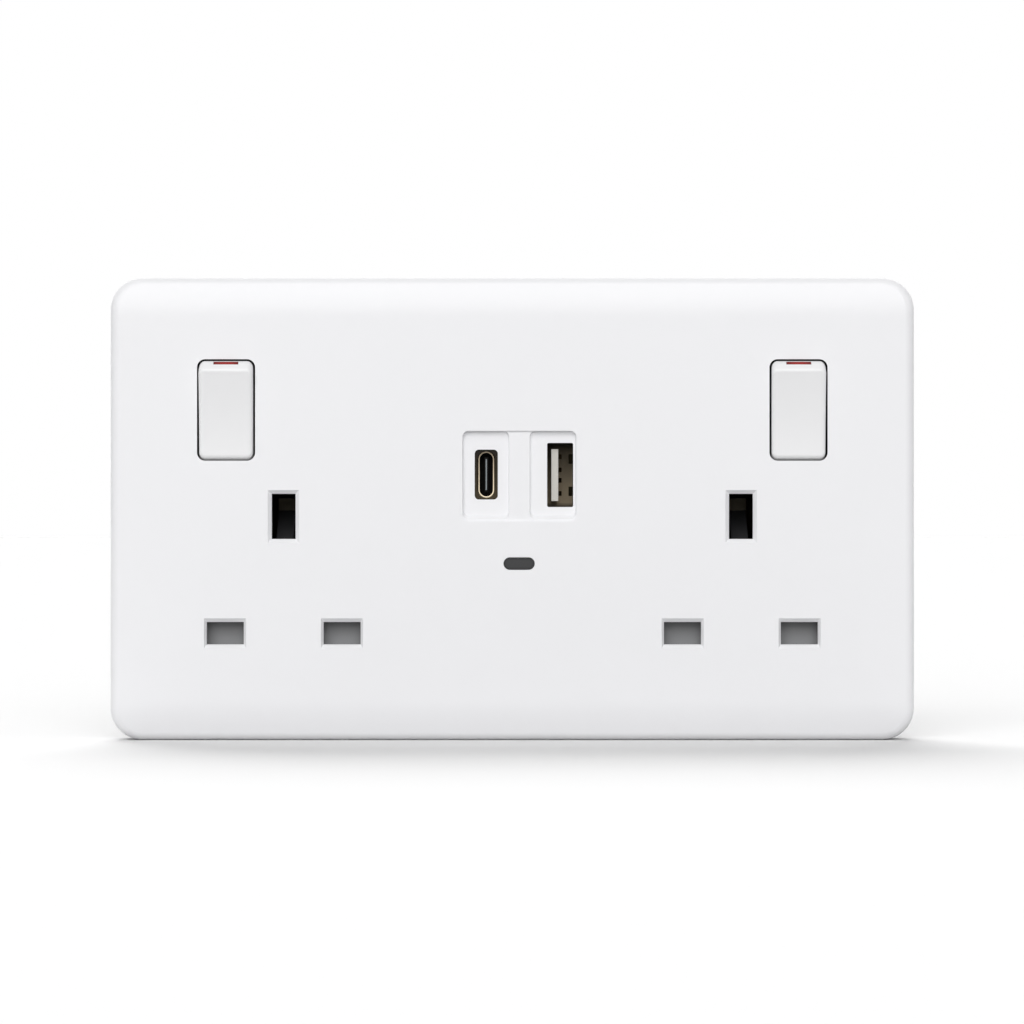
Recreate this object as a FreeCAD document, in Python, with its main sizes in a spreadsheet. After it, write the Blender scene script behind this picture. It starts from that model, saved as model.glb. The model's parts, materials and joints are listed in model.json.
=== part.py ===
import FreeCAD, Part
import os
import re

import Sketcher

# UK double switched socket with a USB charging module, screwless clip-on front.
# X runs to the right as seen from the room, Y runs into the wall, Z runs up.
# The origin is the middle of the plate on the wall plane, so the front face is at
# Y = -plate_depth and everything that sinks into the wall box has a positive Y.

doc = FreeCAD.newDocument("usb_wall_socket")
sheet = doc.addObject("Spreadsheet::Sheet", "sizes")

SIZES = [
    # cover plate
    ("plate_width", 153.0, "cover plate, left to right"),
    ("plate_height", 88.0, "cover plate, bottom to top"),
    ("plate_depth", 10.0, "wall plane to front face"),
    ("corner_radius", 6.0, "corner of the cover, seen from the room"),
    ("cover_wall", 2.0, "wall of the cover moulding"),
    ("edge_round", 1.8, "round between the front face and the sides"),
    ("roll_width", 7.3, "soft roll-off along the top and bottom edge"),
    ("roll_drop", 1.2, "how far the roll-off falls back"),
    ("skirt_gap", 0.3, "cover skirt clear of the wall"),
    ("clip_gap", 0.3, "carrier clear of the cover, sides and front"),
    ("root", 0.5, "ribs, posts and blocks rooted in the wall they stand on"),
    ("past", 1.0, "cutting outlines run on past the material"),
    # socket outlets
    ("socket_offset", 43.5, "plate centre to the middle of an outlet"),
    ("earth_level", -1.43, "height of the earth slot"),
    ("line_level", -23.66, "height of the live and neutral slots"),
    ("pin_pitch", 22.23, "live slot to neutral slot"),
    ("earth_slot_width", 4.55, "earth slot"),
    ("earth_slot_height", 8.6, "earth slot"),
    ("line_slot_width", 7.06, "live and neutral slot"),
    ("line_slot_height", 4.28, "live and neutral slot"),
    ("slot_lead_side", 0.47, "bevel at the side of a line slot"),
    ("slot_lead_end", 0.72, "bevel above and below a slot"),
    ("slot_lead_depth", 0.7, "depth of the bevel"),
    ("slot_clear", 0.15, "carrier slot wider than the cover slot, each side"),
    # rocker switches
    ("rocker_offset", 54.4, "plate centre to the middle of a rocker"),
    ("rocker_level", 18.8, "height of the rockers"),
    ("rocker_width", 10.3, "rocker, left to right"),
    ("rocker_length", 18.55, "rocker at the face of the plate, bottom to top"),
    ("rocker_gap", 0.375, "rocker to its window"),
    ("rocker_corner", 1.2, "corner of the rocker"),
    ("window_lip", 0.25, "straight front edge of a rocker window"),
    ("bearing_play", 0.1, "trunnion smaller than its bearing, each side"),
    ("pivot_depth", 5.0, "front face to the rocker pivot"),
    ("crest_height", 1.45, "crest in front of the plate with the rocker level"),
    ("dish_depth", 0.44, "hollow of the rocker face"),
    ("rocker_tail", 1.6, "rocker behind its pivot"),
    ("crest_round", 0.8, "round of the rocker's edges"),
    ("rocker_wall", 1.3, "wall of the rocker moulding"),
    ("end_wall", 0.75, "end of the face to the hollow behind it"),
    ("rocker_tilt", 6.0, "rocker from level to either end, degrees"),
    ("trunnion_bore", 2.5, "rocker trunnion diameter"),
    ("trunnion_reach", 6.6, "rocker middle to the end of a trunnion"),
    ("cradle_play", 0.1, "cradle wall clear of the rocker window"),
    ("cradle_wall", 1.2, "cradle wall on each side of a rocker"),
    ("cradle_reach", 3.5, "pivot to the edges of a cradle wall"),
    ("flag_width", 4.65, "red flag, left to right"),
    ("flag_angle", 26.2, "red flag above the pivot line, degrees"),
    ("flag_span", 4.9, "red flag along the end of the rocker, degrees"),
    ("flag_thick", 1.3, "red flag into the rocker"),
    ("flag_sink", 0.02, "red flag below the end of the rocker"),
    ("plunger_bore", 3.2, "bore of the rocker boss"),
    ("plunger_slack", 0.2, "plunger smaller than its bore"),
    ("plunger_reach", 9.5, "pivot to the tip of the plunger"),
    ("plunger_heel", 1.5, "pivot to the spring end of the plunger"),
    ("boss_wall", 1.1, "wall of the rocker boss"),
    ("boss_reach", 5.0, "pivot to the open end of the boss"),
    ("bore_bottom", 3.6, "pivot to the closed end of the bore"),
    # switch contacts
    ("contact_tilt", 9.0, "moving contact from level to either end, degrees"),
    ("fulcrum_depth", 5.3, "wall plane to the back of the moving contact"),
    ("contact_length", 15.0, "moving contact, end to end"),
    ("contact_width", 6.4, "moving contact at its shoulders"),
    ("contact_neck", 5.0, "moving contact between the ears"),
    ("neck_reach", 2.1, "fulcrum to the end of the neck"),
    ("blade_corner", 0.8, "corners of the moving contact"),
    ("ear_thick", 0.7, "ears beside the neck"),
    ("ear_reach", 1.6, "fulcrum to the top and bottom of an ear"),
    ("ear_front", 1.3, "fulcrum to the front of an ear"),
    ("knife_reach", 1.2, "knife edge at its base, from its middle"),
    ("rivet_level", 6.4, "fulcrum to the silver rivets"),
    ("rivet_size", 2.6, "silver rivet diameter"),
    ("rivet_thick", 0.5, "silver rivet on the moving contact"),
    ("fixed_rivet", 3.0, "silver rivet on the live bar"),
    # stamped contacts and bars
    ("sheet", 0.8, "brass sheet"),
    ("line_plane", 7.9, "wall plane to the live and neutral sheet"),
    ("earth_plane", 13.2, "wall plane to the earth sheet"),
    ("bar_width", 2.8, "live and neutral bar"),
    ("bar_level", 29.6, "middle of the bars above and below the centre"),
    ("link_width", 3.0, "strip from an outlet to its switch"),
    ("lane_clear", 4.6, "outlet middle to the strip that runs up beside it"),
    ("turn_drop", 8.2, "rocker to the lower edge of the strip that turns to it"),
    ("arm_width", 4.4, "arm of the live bar behind a switch"),
    ("tab_width", 5.0, "tab from a bar to its terminal"),
    ("strap_width", 5.0, "earth strap"),
    ("leg_width", 4.0, "leg of the earth strap"),
    ("jaw_width", 5.5, "live and neutral jaw"),
    ("line_pin", 4.0, "thickness of a line pin"),
    ("earth_pin", 4.0, "thickness of an earth pin"),
    ("pin_squeeze", 0.15, "jaw closer than the pin, each side"),
    ("jaw_flare", 1.25, "jaw mouth wider than its throat, each side"),
    ("jaw_lead", 2.1, "jaw mouth to its throat"),
    ("jaw_relief", 0.55, "jaw root wider than its throat, each side"),
    ("jaw_mouth", 8.4, "length of a line jaw"),
    ("earth_jaw_length", 9.6, "length of an earth jaw"),
    ("earth_jaw_width", 7.0, "earth jaw, bottom to top"),
    # terminals
    ("terminal_width", 8.5, "terminal block, across"),
    ("terminal_length", 10.0, "terminal block along the wire"),
    ("terminal_front", 10.7, "wall plane to the terminal blocks"),
    ("terminal_depth", 8.5, "terminal block, front to back"),
    ("terminal_edge", 31.0, "plate centre to the wire end of the blocks"),
    ("terminal_round", 1.0, "long edges of a terminal block"),
    ("wire_bore", 5.0, "bore for the house wiring"),
    ("wire_front", 1.5, "front of a terminal block to its wire bore"),
    ("wire_stop", 1.0, "closed end of the wire bore"),
    ("screw_inset", 4.5, "wire end of a terminal block to its screw"),
    ("terminal_thread", 3.7, "threaded hole in a terminal block"),
    ("neutral_terminal", -20.0, "across the plate"),
    ("earth_terminal", 7.0, "across the plate, one each side"),
    ("live_terminal", 28.0, "across the plate"),
    # shutters
    ("shutter_reach", 15.4, "outlet middle to the end of the shutter"),
    ("shutter_height", 5.5, "shutter bar"),
    ("shutter_play", 0.2, "carrier plate to the front of the shutter"),
    ("shutter_thick", 3.5, "shutter, front to back"),
    ("shutter_wall", 1.2, "walls around the shutter's hollows"),
    ("hollow_depth", 1.8, "hollows in the back of the shutter"),
    ("stem_width", 8.0, "shutter stem"),
    ("stem_slot", 3.8, "slot for the spring"),
    ("stem_top", -5.9, "height of the top of the stem"),
    ("slot_low", -20.4, "lower end of the spring slot"),
    ("slot_high", -9.0, "upper end of the spring slot"),
    ("peg_top", -18.0, "height of the spring's seat"),
    ("peg_width", 2.0, "peg under the spring"),
    ("peg_height", 1.8, "peg under the spring"),
    ("cam_width", 3.2, "earth cam"),
    ("cam_edge", 0.3, "front edge of the cam above the stem"),
    ("cam_root", 2.7, "cam down behind the stem"),
    ("cam_heel", 2.6, "underside of the cam's nose above the stem"),
    ("cam_reach", 3.0, "wall plane to the back of the cam"),
    ("cam_rise", 5.3, "height of the cam's slope"),
    ("guide_gap", 0.25, "shutter to its guides"),
    ("guide_wall", 1.2, "shutter guides"),
    ("guide_lip", 1.2, "lip of a guide behind the shutter"),
    ("lip_thick", 1.0, "lips and bridges behind the shutter"),
    ("stem_guide", 9.0, "length of the guides beside the stem"),
    ("bridge_level", -16.2, "height of the bridge behind the stem"),
    ("bridge_height", 2.8, "bridge behind the stem"),
    # springs
    ("spring_wire", 0.35, "wire of the springs"),
    ("shutter_coil", 2.6, "mean diameter of the shutter spring"),
    ("shutter_pitch", 2.6, "pitch of the shutter spring"),
    ("plunger_coil", 2.2, "mean diameter of the plunger spring"),
    ("plunger_pitch", 1.9, "pitch of the plunger spring"),
    # carrier
    ("carrier_plate", 2.2, "plate of the carrier"),
    ("rim_wall", 1.8, "rim of the carrier"),
    ("fixing_pitch", 120.6, "wall fixing holes"),
    ("fixing_hole", 4.3, "wall fixing holes"),
    ("fixing_well", 8.0, "well for the fixing screw's head"),
    ("fixing_boss", 11.0, "boss around the well"),
    ("fixing_seat", 2.5, "thickness under the screw's head"),
    ("hook_spread", 45.0, "middle hook to an outer hook"),
    ("hook_width", 8.0, "snap hook"),
    ("hook_depth", 2.6, "wall plane to the nose of a hook"),
    ("hook_reach", 0.8, "hook beyond the inside of the skirt"),
    ("hook_nose", 0.4, "flat nose of a hook"),
    ("hook_catch", 0.8, "steep flank of a hook, front to back"),
    ("hook_lead", 1.4, "long flank of a hook, front to back"),
    ("rib_level", 2.5, "ribs beside a fixing boss, from its middle"),
    ("rib_thick", 1.2, "ribs beside a fixing boss"),
    ("rib_end", 2.0, "wall plane to the end of those ribs"),
    ("pilot_skin", 0.7, "carrier plate to the end of a screw pilot"),
    ("window_play", 0.5, "carrier windows larger than what comes through"),
    # rear housing
    ("housing_play", 0.675, "housing wall clear of the rocker cradles"),
    ("housing_height", 68.0, "housing, bottom to top"),
    ("housing_depth", 21.0, "wall plane to the back of the housing"),
    ("housing_wall", 1.6, "housing walls and floor"),
    ("housing_seat", 0.1, "housing clear of the carrier plate"),
    ("housing_corner", 2.0, "corners of the housing"),
    ("housing_bevel", 0.8, "bevel around the back of the housing"),
    ("notch_height", 12.4, "notch for the lugs of the wall box"),
    ("notch_depth", 9.7, "notch for the lugs of the wall box"),
    ("post_high_x", 38.0, "upper assembly screws"),
    ("post_high_z", 20.0, "upper assembly screws"),
    ("post_low_x", 22.5, "lower assembly screws"),
    ("post_low_z", -12.0, "lower assembly screws"),
    ("post_size", 6.4, "screw posts of the carrier"),
    ("housing_post", 7.8, "screw posts of the housing"),
    ("board_post", 5.2, "posts under the circuit board"),
    ("partition_across", 22.0, "partitions beside the USB module"),
    ("partition_low", -18.0, "lower end of the partitions"),
    ("partition_high", 26.0, "upper end of the partitions"),
    ("bar_clear", 1.0, "partitions clear of the bars"),
    ("strap_clear", 0.5, "gap for the strap larger than the strap"),
    ("wire_entry", 7.2, "wire hole in the housing wall"),
    ("driver_well", 7.0, "hole for a driver behind a terminal screw"),
    ("bar_support_width", 5.0, "support behind the live bar"),
    ("bar_support_height", 2.0, "support behind the live bar"),
    ("switch_support_width", 4.0, "support behind a switch"),
    ("switch_support_height", 2.6, "support behind a switch"),
    ("switch_support_drop", 2.2, "rocker to the middle of the support behind its switch"),
    ("jaw_support_width", 4.5, "support behind a line jaw"),
    ("strap_support_width", 4.0, "support behind the strap"),
    ("strap_support_height", 6.0, "support behind the strap"),
    ("assembly_screw", 2.9, "assembly screw diameter"),
    ("assembly_head", 5.6, "assembly screw head diameter"),
    ("assembly_rise", 2.0, "assembly screw head, underside to top"),
    ("assembly_reach", 7.0, "assembly screw under its head"),
    ("assembly_seat", 3.0, "wall plane to the seat of the assembly screws"),
    ("head_clear", 0.3, "well wider than the screw head, each side"),
    ("screw_clear", 0.1, "hole larger than its screw"),
    ("through_clear", 0.4, "through hole larger than its screw"),
    ("terminal_shank", 3.6, "terminal screw diameter"),
    ("terminal_head", 5.6, "terminal screw head diameter"),
    ("terminal_rise", 1.6, "terminal screw head, underside to top"),
    ("terminal_reach", 1.9, "terminal screw under its head"),
    ("drive_slot", 0.8, "slot in the screw heads"),
    # USB module
    ("usb_middle", 1.35, "plate centre to the middle of the recess"),
    ("usb_level", 6.25, "height of the recess"),
    ("recess_width", 21.7, "recess"),
    ("recess_height", 17.2, "recess"),
    ("recess_corner", 1.2, "recess"),
    ("recess_depth", 1.3, "floor of the two wells"),
    ("port_lip", 0.5, "front lip in front of a port's nest"),
    ("well_lean", 0.15, "lean of the wells' sides"),
    ("rib_width", 3.8, "rib between the wells"),
    ("rib_drop", 0.45, "rib behind the face of the plate"),
    ("sill_slope", 1.0, "sloping sill under the wells"),
    ("seat_back", 2.9, "front face to the back of the recess wall"),
    ("nest_step", 0.4, "relief around the USB-C collar, each side"),
    ("usb_c_across", -4.96, "USB-C port"),
    ("usb_c_level", 6.54, "USB-C port"),
    ("usb_c_hole_width", 4.4, "opening for the USB-C port"),
    ("usb_c_hole_height", 9.5, "opening for the USB-C port"),
    ("usb_c_corner", 0.8, "opening for the USB-C port"),
    ("usb_c_inside", 2.56, "USB-C shell, inside"),
    ("usb_c_length", 8.34, "USB-C shell, inside"),
    ("usb_c_wall", 0.2, "sheet of the USB-C shell"),
    ("usb_c_sink", 0.6, "collar front to the edge of the USB-C shell"),
    ("collar_sink", 0.15, "well floor to the front of the collar"),
    ("collar_back", 3.0, "back of the collar to the wall plane"),
    ("collar_bevel", 0.3, "bevel of the collar, sides"),
    ("usb_c_tongue_width", 6.7, "USB-C tongue"),
    ("usb_c_tongue_thick", 0.7, "USB-C tongue"),
    ("usb_c_tongue_sink", 0.8, "edge of the USB-C shell to its tongue"),
    ("usb_c_base", 2.0, "front of the USB-C base to the wall plane"),
    ("plate_thick", 0.25, "steel plate inside the USB-C tongue"),
    ("plate_length", 5.9, "steel plate inside the USB-C tongue"),
    ("plate_proud", 0.15, "steel plate in front of the USB-C tongue"),
    ("usb_a_across", 9.11, "USB-A port"),
    ("usb_a_level", 6.46, "USB-A port"),
    ("usb_a_hole_width", 4.95, "opening for the USB-A port"),
    ("usb_a_hole_height", 12.2, "opening for the USB-A port"),
    ("usb_a_corner", 0.3, "opening for the USB-A port"),
    ("usb_a_width", 5.7, "USB-A shell"),
    ("usb_a_height", 13.14, "USB-A shell"),
    ("shell_wall", 0.3, "sheet of the USB-A shell"),
    ("shell_corner", 0.6, "corners of the USB-A shell"),
    ("finger_level", 3.1, "spring fingers of the shell, from its middle"),
    ("finger_width", 1.8, "spring finger of the shell"),
    ("finger_root", 6.7, "mouth of the shell to the root of a finger"),
    ("finger_bend", 3.2, "mouth of the shell to the bend of a finger"),
    ("finger_tip", 2.2, "mouth of the shell to the tip of a finger"),
    ("finger_reach", 1.2, "finger into the shell at its bend"),
    ("finger_sheet", 0.25, "thickness of a finger"),
    ("finger_slot", 2.4, "window behind a finger"),
    ("tongue_across", -1.0, "shell middle to the middle of the USB-A tongue"),
    ("tongue_thick", 1.3, "USB-A tongue"),
    ("tongue_height", 9.9, "USB-A tongue"),
    ("tongue_sink", 1.1, "mouth of the shell to the USB-A tongue"),
    ("base_front", 4.5, "board to the front of the USB-A base"),
    ("base_back", 0.5, "board to the back of a port's base"),
    ("contact_near", 1.0, "inner contacts of the USB-A port, from its middle"),
    ("contact_far", 3.5, "outer contacts of the USB-A port, from its middle"),
    ("contact_strip", 0.16, "thickness of a USB-A contact"),
    ("contact_broad", 0.9, "width of a USB-A contact"),
    ("nose_sink", 1.5, "mouth of the shell to the tip of a contact"),
    ("nose_length", 1.8, "nose of a contact along the tongue"),
    ("nose_rise", 0.65, "nose of a contact off the tongue"),
    ("board_plane", 5.5, "wall plane to the circuit board"),
    ("board_thick", 1.6, "circuit board"),
    ("board_width", 34.0, "circuit board"),
    ("board_top", 27.0, "height of the board's top edge"),
    ("board_bottom", -20.0, "height of the board's bottom edge"),
    ("board_corner", 1.0, "corners of the board"),
    ("board_inset", 3.2, "board screws from the edge of the board"),
    ("board_screw", 2.0, "board screw diameter"),
    ("board_head", 3.6, "board screw head diameter"),
    ("board_rise", 1.2, "board screw head, underside to top"),
    ("board_reach", 4.6, "board screw under its head"),
    ("lamp_across", 1.3, "indicator lens"),
    ("lamp_level", -10.4, "indicator lens"),
    ("lamp_width", 5.95, "indicator opening"),
    ("lamp_height", 2.4, "indicator opening"),
    ("flange_step", 0.8, "flange of the lens wider than its face, each side"),
    ("flange_thick", 0.9, "flange of the lens"),
    ("stalk_step", 0.3, "stalk of the lens narrower than its face, each side"),
    ("led_width", 3.2, "lamp on the board"),
    ("led_height", 1.6, "lamp on the board"),
    ("led_rise", 1.5, "lamp on the board"),
    ("core_across", -6.4, "transformer, from the middle of the module"),
    ("core_level", 14.0, "transformer"),
    ("core_width", 15.0, "transformer core"),
    ("core_height", 11.0, "transformer core"),
    ("core_depth", 9.6, "transformer core"),
    ("core_leg", 4.4, "middle leg of the core"),
    ("window_across", 3.1, "window of the core"),
    ("window_depth", 5.4, "window of the core"),
    ("coil_width", 10.2, "winding of the transformer"),
    ("coil_height", 15.4, "winding of the transformer"),
    ("coil_depth", 5.0, "winding of the transformer"),
    ("coil_corner", 1.5, "winding of the transformer"),
    ("can_across", 8.5, "upper capacitors, from the middle of the module"),
    ("can_high", 20.5, "height of the topmost capacitor"),
    ("can_low", 11.0, "height of the capacitor below it"),
    ("large_can", 8.0, "diameter of the topmost capacitor"),
    ("small_can", 6.3, "diameter of the other capacitors"),
    ("large_can_rise", 10.0, "topmost capacitor"),
    ("small_can_rise", 9.0, "capacitor below it"),
    ("flat_can_across", -10.0, "flat capacitor, from the middle of the module"),
    ("flat_can_rise", 5.2, "flat capacitor"),
    ("low_level", -12.0, "height of the parts below the ports"),
    ("drum_radius", 3.0, "inductor flanges"),
    ("drum_waist", 1.9, "inductor between its flanges"),
    ("drum_flange", 0.8, "inductor flanges"),
    ("drum_rise", 5.0, "inductor"),
    ("chip_across", 9.0, "control chip, from the middle of the module"),
    ("chip_width", 4.0, "control chip"),
    ("chip_height", 5.0, "control chip"),
    ("chip_rise", 1.6, "control chip"),
    ("leg_pitch", 1.27, "legs of the control chip"),
    ("leg_thick", 0.4, "legs of the control chip"),
    ("leg_rise", 0.7, "legs of the control chip"),
    ("leg_span", 6.0, "legs of the control chip, tip to tip"),
    ("snug", 0.05, "clearance of parts that are pushed together"),
]

for row, (alias, value, meaning) in enumerate(SIZES, start=1):
    sheet.set(f"A{row}", meaning)
    sheet.set(f"B{row}", str(value))
    sheet.setAlias(f"B{row}", alias)
doc.recompute()
ALIASES = {alias for alias, value, meaning in SIZES}


def bound(text):
    """The expression with each size written as a cell of the sheet."""
    swap = lambda word: "sizes." + word.group(0) if word.group(0) in ALIASES else word.group(0)
    return re.sub(r"[a-z][a-z_]*", swap, text)


def number(text):
    """What an expression comes to now, in millimetres or degrees."""
    result = sheet.evalExpression(bound(text))
    return float(getattr(result, "Value", result))


def tie(target, name, text):
    target.setExpression(name, bound(text))


# Outlines. A corner is (x, y), both expressions. A corner that an arc leaves is
# (x, y, centre_x, centre_y, turn), and turn is 1 for an anticlockwise arc, -1 for clockwise.

def rect(x, y, width, height):
    left, right = f"({x})-({width})/2", f"({x})+({width})/2"
    low, high = f"({y})-({height})/2", f"({y})+({height})/2"
    return [(left, low), (right, low), (right, high), (left, high)]


def soft_rect(x, y, width, height, radius):
    left, right = f"({x})-({width})/2", f"({x})+({width})/2"
    low, high = f"({y})-({height})/2", f"({y})+({height})/2"
    left_in, right_in = f"{left}+({radius})", f"{right}-({radius})"
    low_in, high_in = f"{low}+({radius})", f"{high}-({radius})"
    return [
        (left_in, low), (right_in, low, right_in, low_in, 1),
        (right, low_in), (right, high_in, right_in, high_in, 1),
        (right_in, high), (left_in, high, left_in, high_in, 1),
        (left, high_in), (left, low_in, left_in, low_in, 1),
    ]


def stadium(x, y, width, height):
    """A slot with full round ends, lying or standing."""
    if number(width) > number(height):
        reach, half = f"(({width})-({height}))/2", f"({height})/2"
        left, right = f"({x})-{reach}", f"({x})+{reach}"
        low, high = f"({y})-{half}", f"({y})+{half}"
        return [(left, low), (right, low, right, y, 1), (right, high), (left, high, left, y, 1)]
    reach, half = f"(({height})-({width}))/2", f"({width})/2"
    low, high = f"({y})-{reach}", f"({y})+{reach}"
    left, right = f"({x})-{half}", f"({x})+{half}"
    return [(left, low, x, low, 1), (right, low), (right, high, x, high, 1), (left, high)]


def span(x0, x1, y0, y1):
    return [(x0, y0), (x1, y0), (x1, y1), (x0, y1)]


def ring(x, y, diameter):
    """A circle, told from an outline by its three values."""
    return (x, y, diameter)


def draw_circle(sketch, x, y, diameter):
    centre = FreeCAD.Vector(number(x), number(y), 0)
    circle = Part.Circle(centre, FreeCAD.Vector(0, 0, 1), number(diameter) / 2)
    index = sketch.addGeometry(circle, False)
    pin(sketch, index, 3, x, y)
    rule = sketch.addConstraint(Sketcher.Constraint("Diameter", index, number(diameter)))
    tie(sketch, f"Constraints[{rule}]", diameter)


def pin(sketch, index, point, x=None, y=None):
    """Ties one point of a sketch to a place measured from its origin."""
    for kind, text in (("DistanceX", x), ("DistanceY", y)):
        if text is not None:
            rule = sketch.addConstraint(Sketcher.Constraint(kind, -1, 1, index, point, number(text)))
            tie(sketch, f"Constraints[{rule}]", text)


def draw_outline(sketch, corners):
    places = [FreeCAD.Vector(number(corner[0]), number(corner[1]), 0) for corner in corners]
    ends = []
    for step, corner in enumerate(corners):
        here, there = places[step], places[(step + 1) % len(corners)]
        if len(corner) == 2:
            index = sketch.addGeometry(Part.LineSegment(here, there), False)
            ends.append((index, 1, 2))
            continue
        centre = FreeCAD.Vector(number(corner[2]), number(corner[3]), 0)
        first, last = (here, there) if corner[4] > 0 else (there, here)
        circle = Part.Circle(centre, FreeCAD.Vector(0, 0, 1), here.distanceToPoint(centre))
        arc = Part.ArcOfCircle(circle, circle.parameter(first), circle.parameter(last))
        index = sketch.addGeometry(arc, False)
        ends.append((index, 1, 2) if corner[4] > 0 else (index, 2, 1))
        if abs(there.y - here.y) > abs(there.x - here.x):
            pin(sketch, index, 3, x=corner[2])
        else:
            pin(sketch, index, 3, y=corner[3])
    for step, corner in enumerate(corners):
        index, start, stop = ends[step]
        following = ends[(step + 1) % len(corners)]
        sketch.addConstraint(Sketcher.Constraint("Coincident", index, stop, following[0], following[1]))
        pin(sketch, index, start, corner[0], corner[1])


PLANES = {"front": "XZ_Plane", "side": "YZ_Plane", "top": "XY_Plane"}


class Piece:
    """One separate piece of the product, in its own frame.

    An outline on "front" is in X and Z and grows along Y, one on "side" is in Y and Z and
    grows along X, and one on "top" is in X and Y and grows along Z.
    """

    def __init__(self, name, place=("0", "0", "0"), tilt="0"):
        self.body = doc.addObject("PartDesign::Body", name)
        self.body.Label = name
        self.body.AllowCompound = True
        turn = FreeCAD.Rotation(FreeCAD.Vector(1, 0, 0), number(tilt))
        self.body.Placement = FreeCAD.Placement(FreeCAD.Vector(*map(number, place)), turn)
        for axis, text in zip("xyz", place):
            tie(self.body, f".Placement.Base.{axis}", text)
        if tilt != "0":
            tie(self.body, ".Placement.Rotation.Angle", tilt)

    def sketch(self, name, plane, level, outlines):
        sketch = self.body.newObject("Sketcher::SketchObject", name + "_sketch")
        role = PLANES[plane]
        support = [part for part in self.body.Origin.OriginFeatures if part.Role == role][0]
        sketch.AttachmentSupport = [(support, "")]
        sketch.MapMode = "FlatFace"
        height = f"-({level})" if plane == "front" else level
        sketch.AttachmentOffset = FreeCAD.Placement(FreeCAD.Vector(0, 0, number(height)), FreeCAD.Rotation())
        tie(sketch, ".AttachmentOffset.Base.z", height)
        for outline in outlines:
            if isinstance(outline, tuple):
                draw_circle(sketch, *outline)
            else:
                draw_outline(sketch, outline)
        return sketch

    def add(self, name, plane, start, stop, *outlines):
        pad = self.body.newObject("PartDesign::Pad", name)
        pad.Profile = self.sketch(name, plane, start, outlines)
        pad.Reversed = plane == "front"
        pad.Refine = False
        tie(pad, "Length", f"({stop})-({start})")
        doc.recompute()
        return self

    def cut(self, name, plane, start, stop, *outlines):
        before = self.body.Shape.Volume
        pocket = self.body.newObject("PartDesign::Pocket", name)
        pocket.Profile = self.sketch(name, plane, start, outlines)
        pocket.Reversed = plane != "front"
        pocket.Refine = False
        tie(pocket, "Length", f"({stop})-({start})")
        doc.recompute()
        if not self.body.Shape.Volume < before:
            raise RuntimeError(f"{self.body.Label}: {name} cuts nothing")
        return self

    def flare(self, name, plane, start, mouths, stop, throats):
        """Cuts holes whose sides lean from one set of outlines to another."""
        before = self.body.Shape.Volume
        loft = self.body.newObject("PartDesign::SubtractiveLoft", name)
        loft.Profile = self.sketch(name + "_mouth", plane, start, mouths)
        loft.Sections = [self.sketch(name + "_throat", plane, stop, throats)]
        loft.Ruled = True
        loft.Refine = False
        doc.recompute()
        if not self.body.Shape.Volume < before:
            raise RuntimeError(f"{self.body.Label}: {name} cuts nothing")
        return self

    def repeat(self, name, plane, length, count):
        """Repeats the last feature in a row at right angles to an origin plane."""
        pattern = self.body.newObject("PartDesign::LinearPattern", name)
        pattern.Originals = [self.body.Tip]
        support = [part for part in self.body.Origin.OriginFeatures if part.Role == plane][0]
        pattern.Direction = (support, [""])
        pattern.Occurrences = count
        tie(pattern, "Length", length)
        self.body.Tip = pattern
        doc.recompute()
        return self

    def turn(self, name, plane, outline, axis="V_Axis"):
        """Adds a turned form about an axis of its sketch."""
        revolution = self.body.newObject("PartDesign::Revolution", name)
        revolution.Profile = self.sketch(name, plane, "0", [outline])
        revolution.ReferenceAxis = (revolution.Profile[0], [axis])
        revolution.Angle = 360
        doc.recompute()
        return self

    def soften(self, name, radius, chosen, kind="Fillet"):
        """Rounds or bevels the edges for which chosen(edge) holds."""
        base = self.body.Tip
        names = [f"Edge{n}" for n, edge in enumerate(base.Shape.Edges, start=1) if chosen(edge)]
        feature = self.body.newObject("PartDesign::" + kind, name)
        feature.Base = (base, names)
        tie(feature, "Radius" if kind == "Fillet" else "Size", radius)
        doc.recompute()
        return self


CLOSE = 0.001  # how near, in millimetres, an edge lies to the place it is picked by


def runs_along(edge, axis):
    """Whether an edge is straight and parallel to an axis."""
    box = edge.BoundBox
    lengths = {"x": box.XLength, "y": box.YLength, "z": box.ZLength}
    return abs(lengths.pop(axis) - edge.Length) < CLOSE and max(lengths.values()) < CLOSE


FACE = "-plate_depth"
SIDES = (("left", "-1"), ("right", "1"))


def outlet(side):
    """Middle of an outlet, left or right of the plate's centre."""
    return f"{side}*socket_offset"


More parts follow.
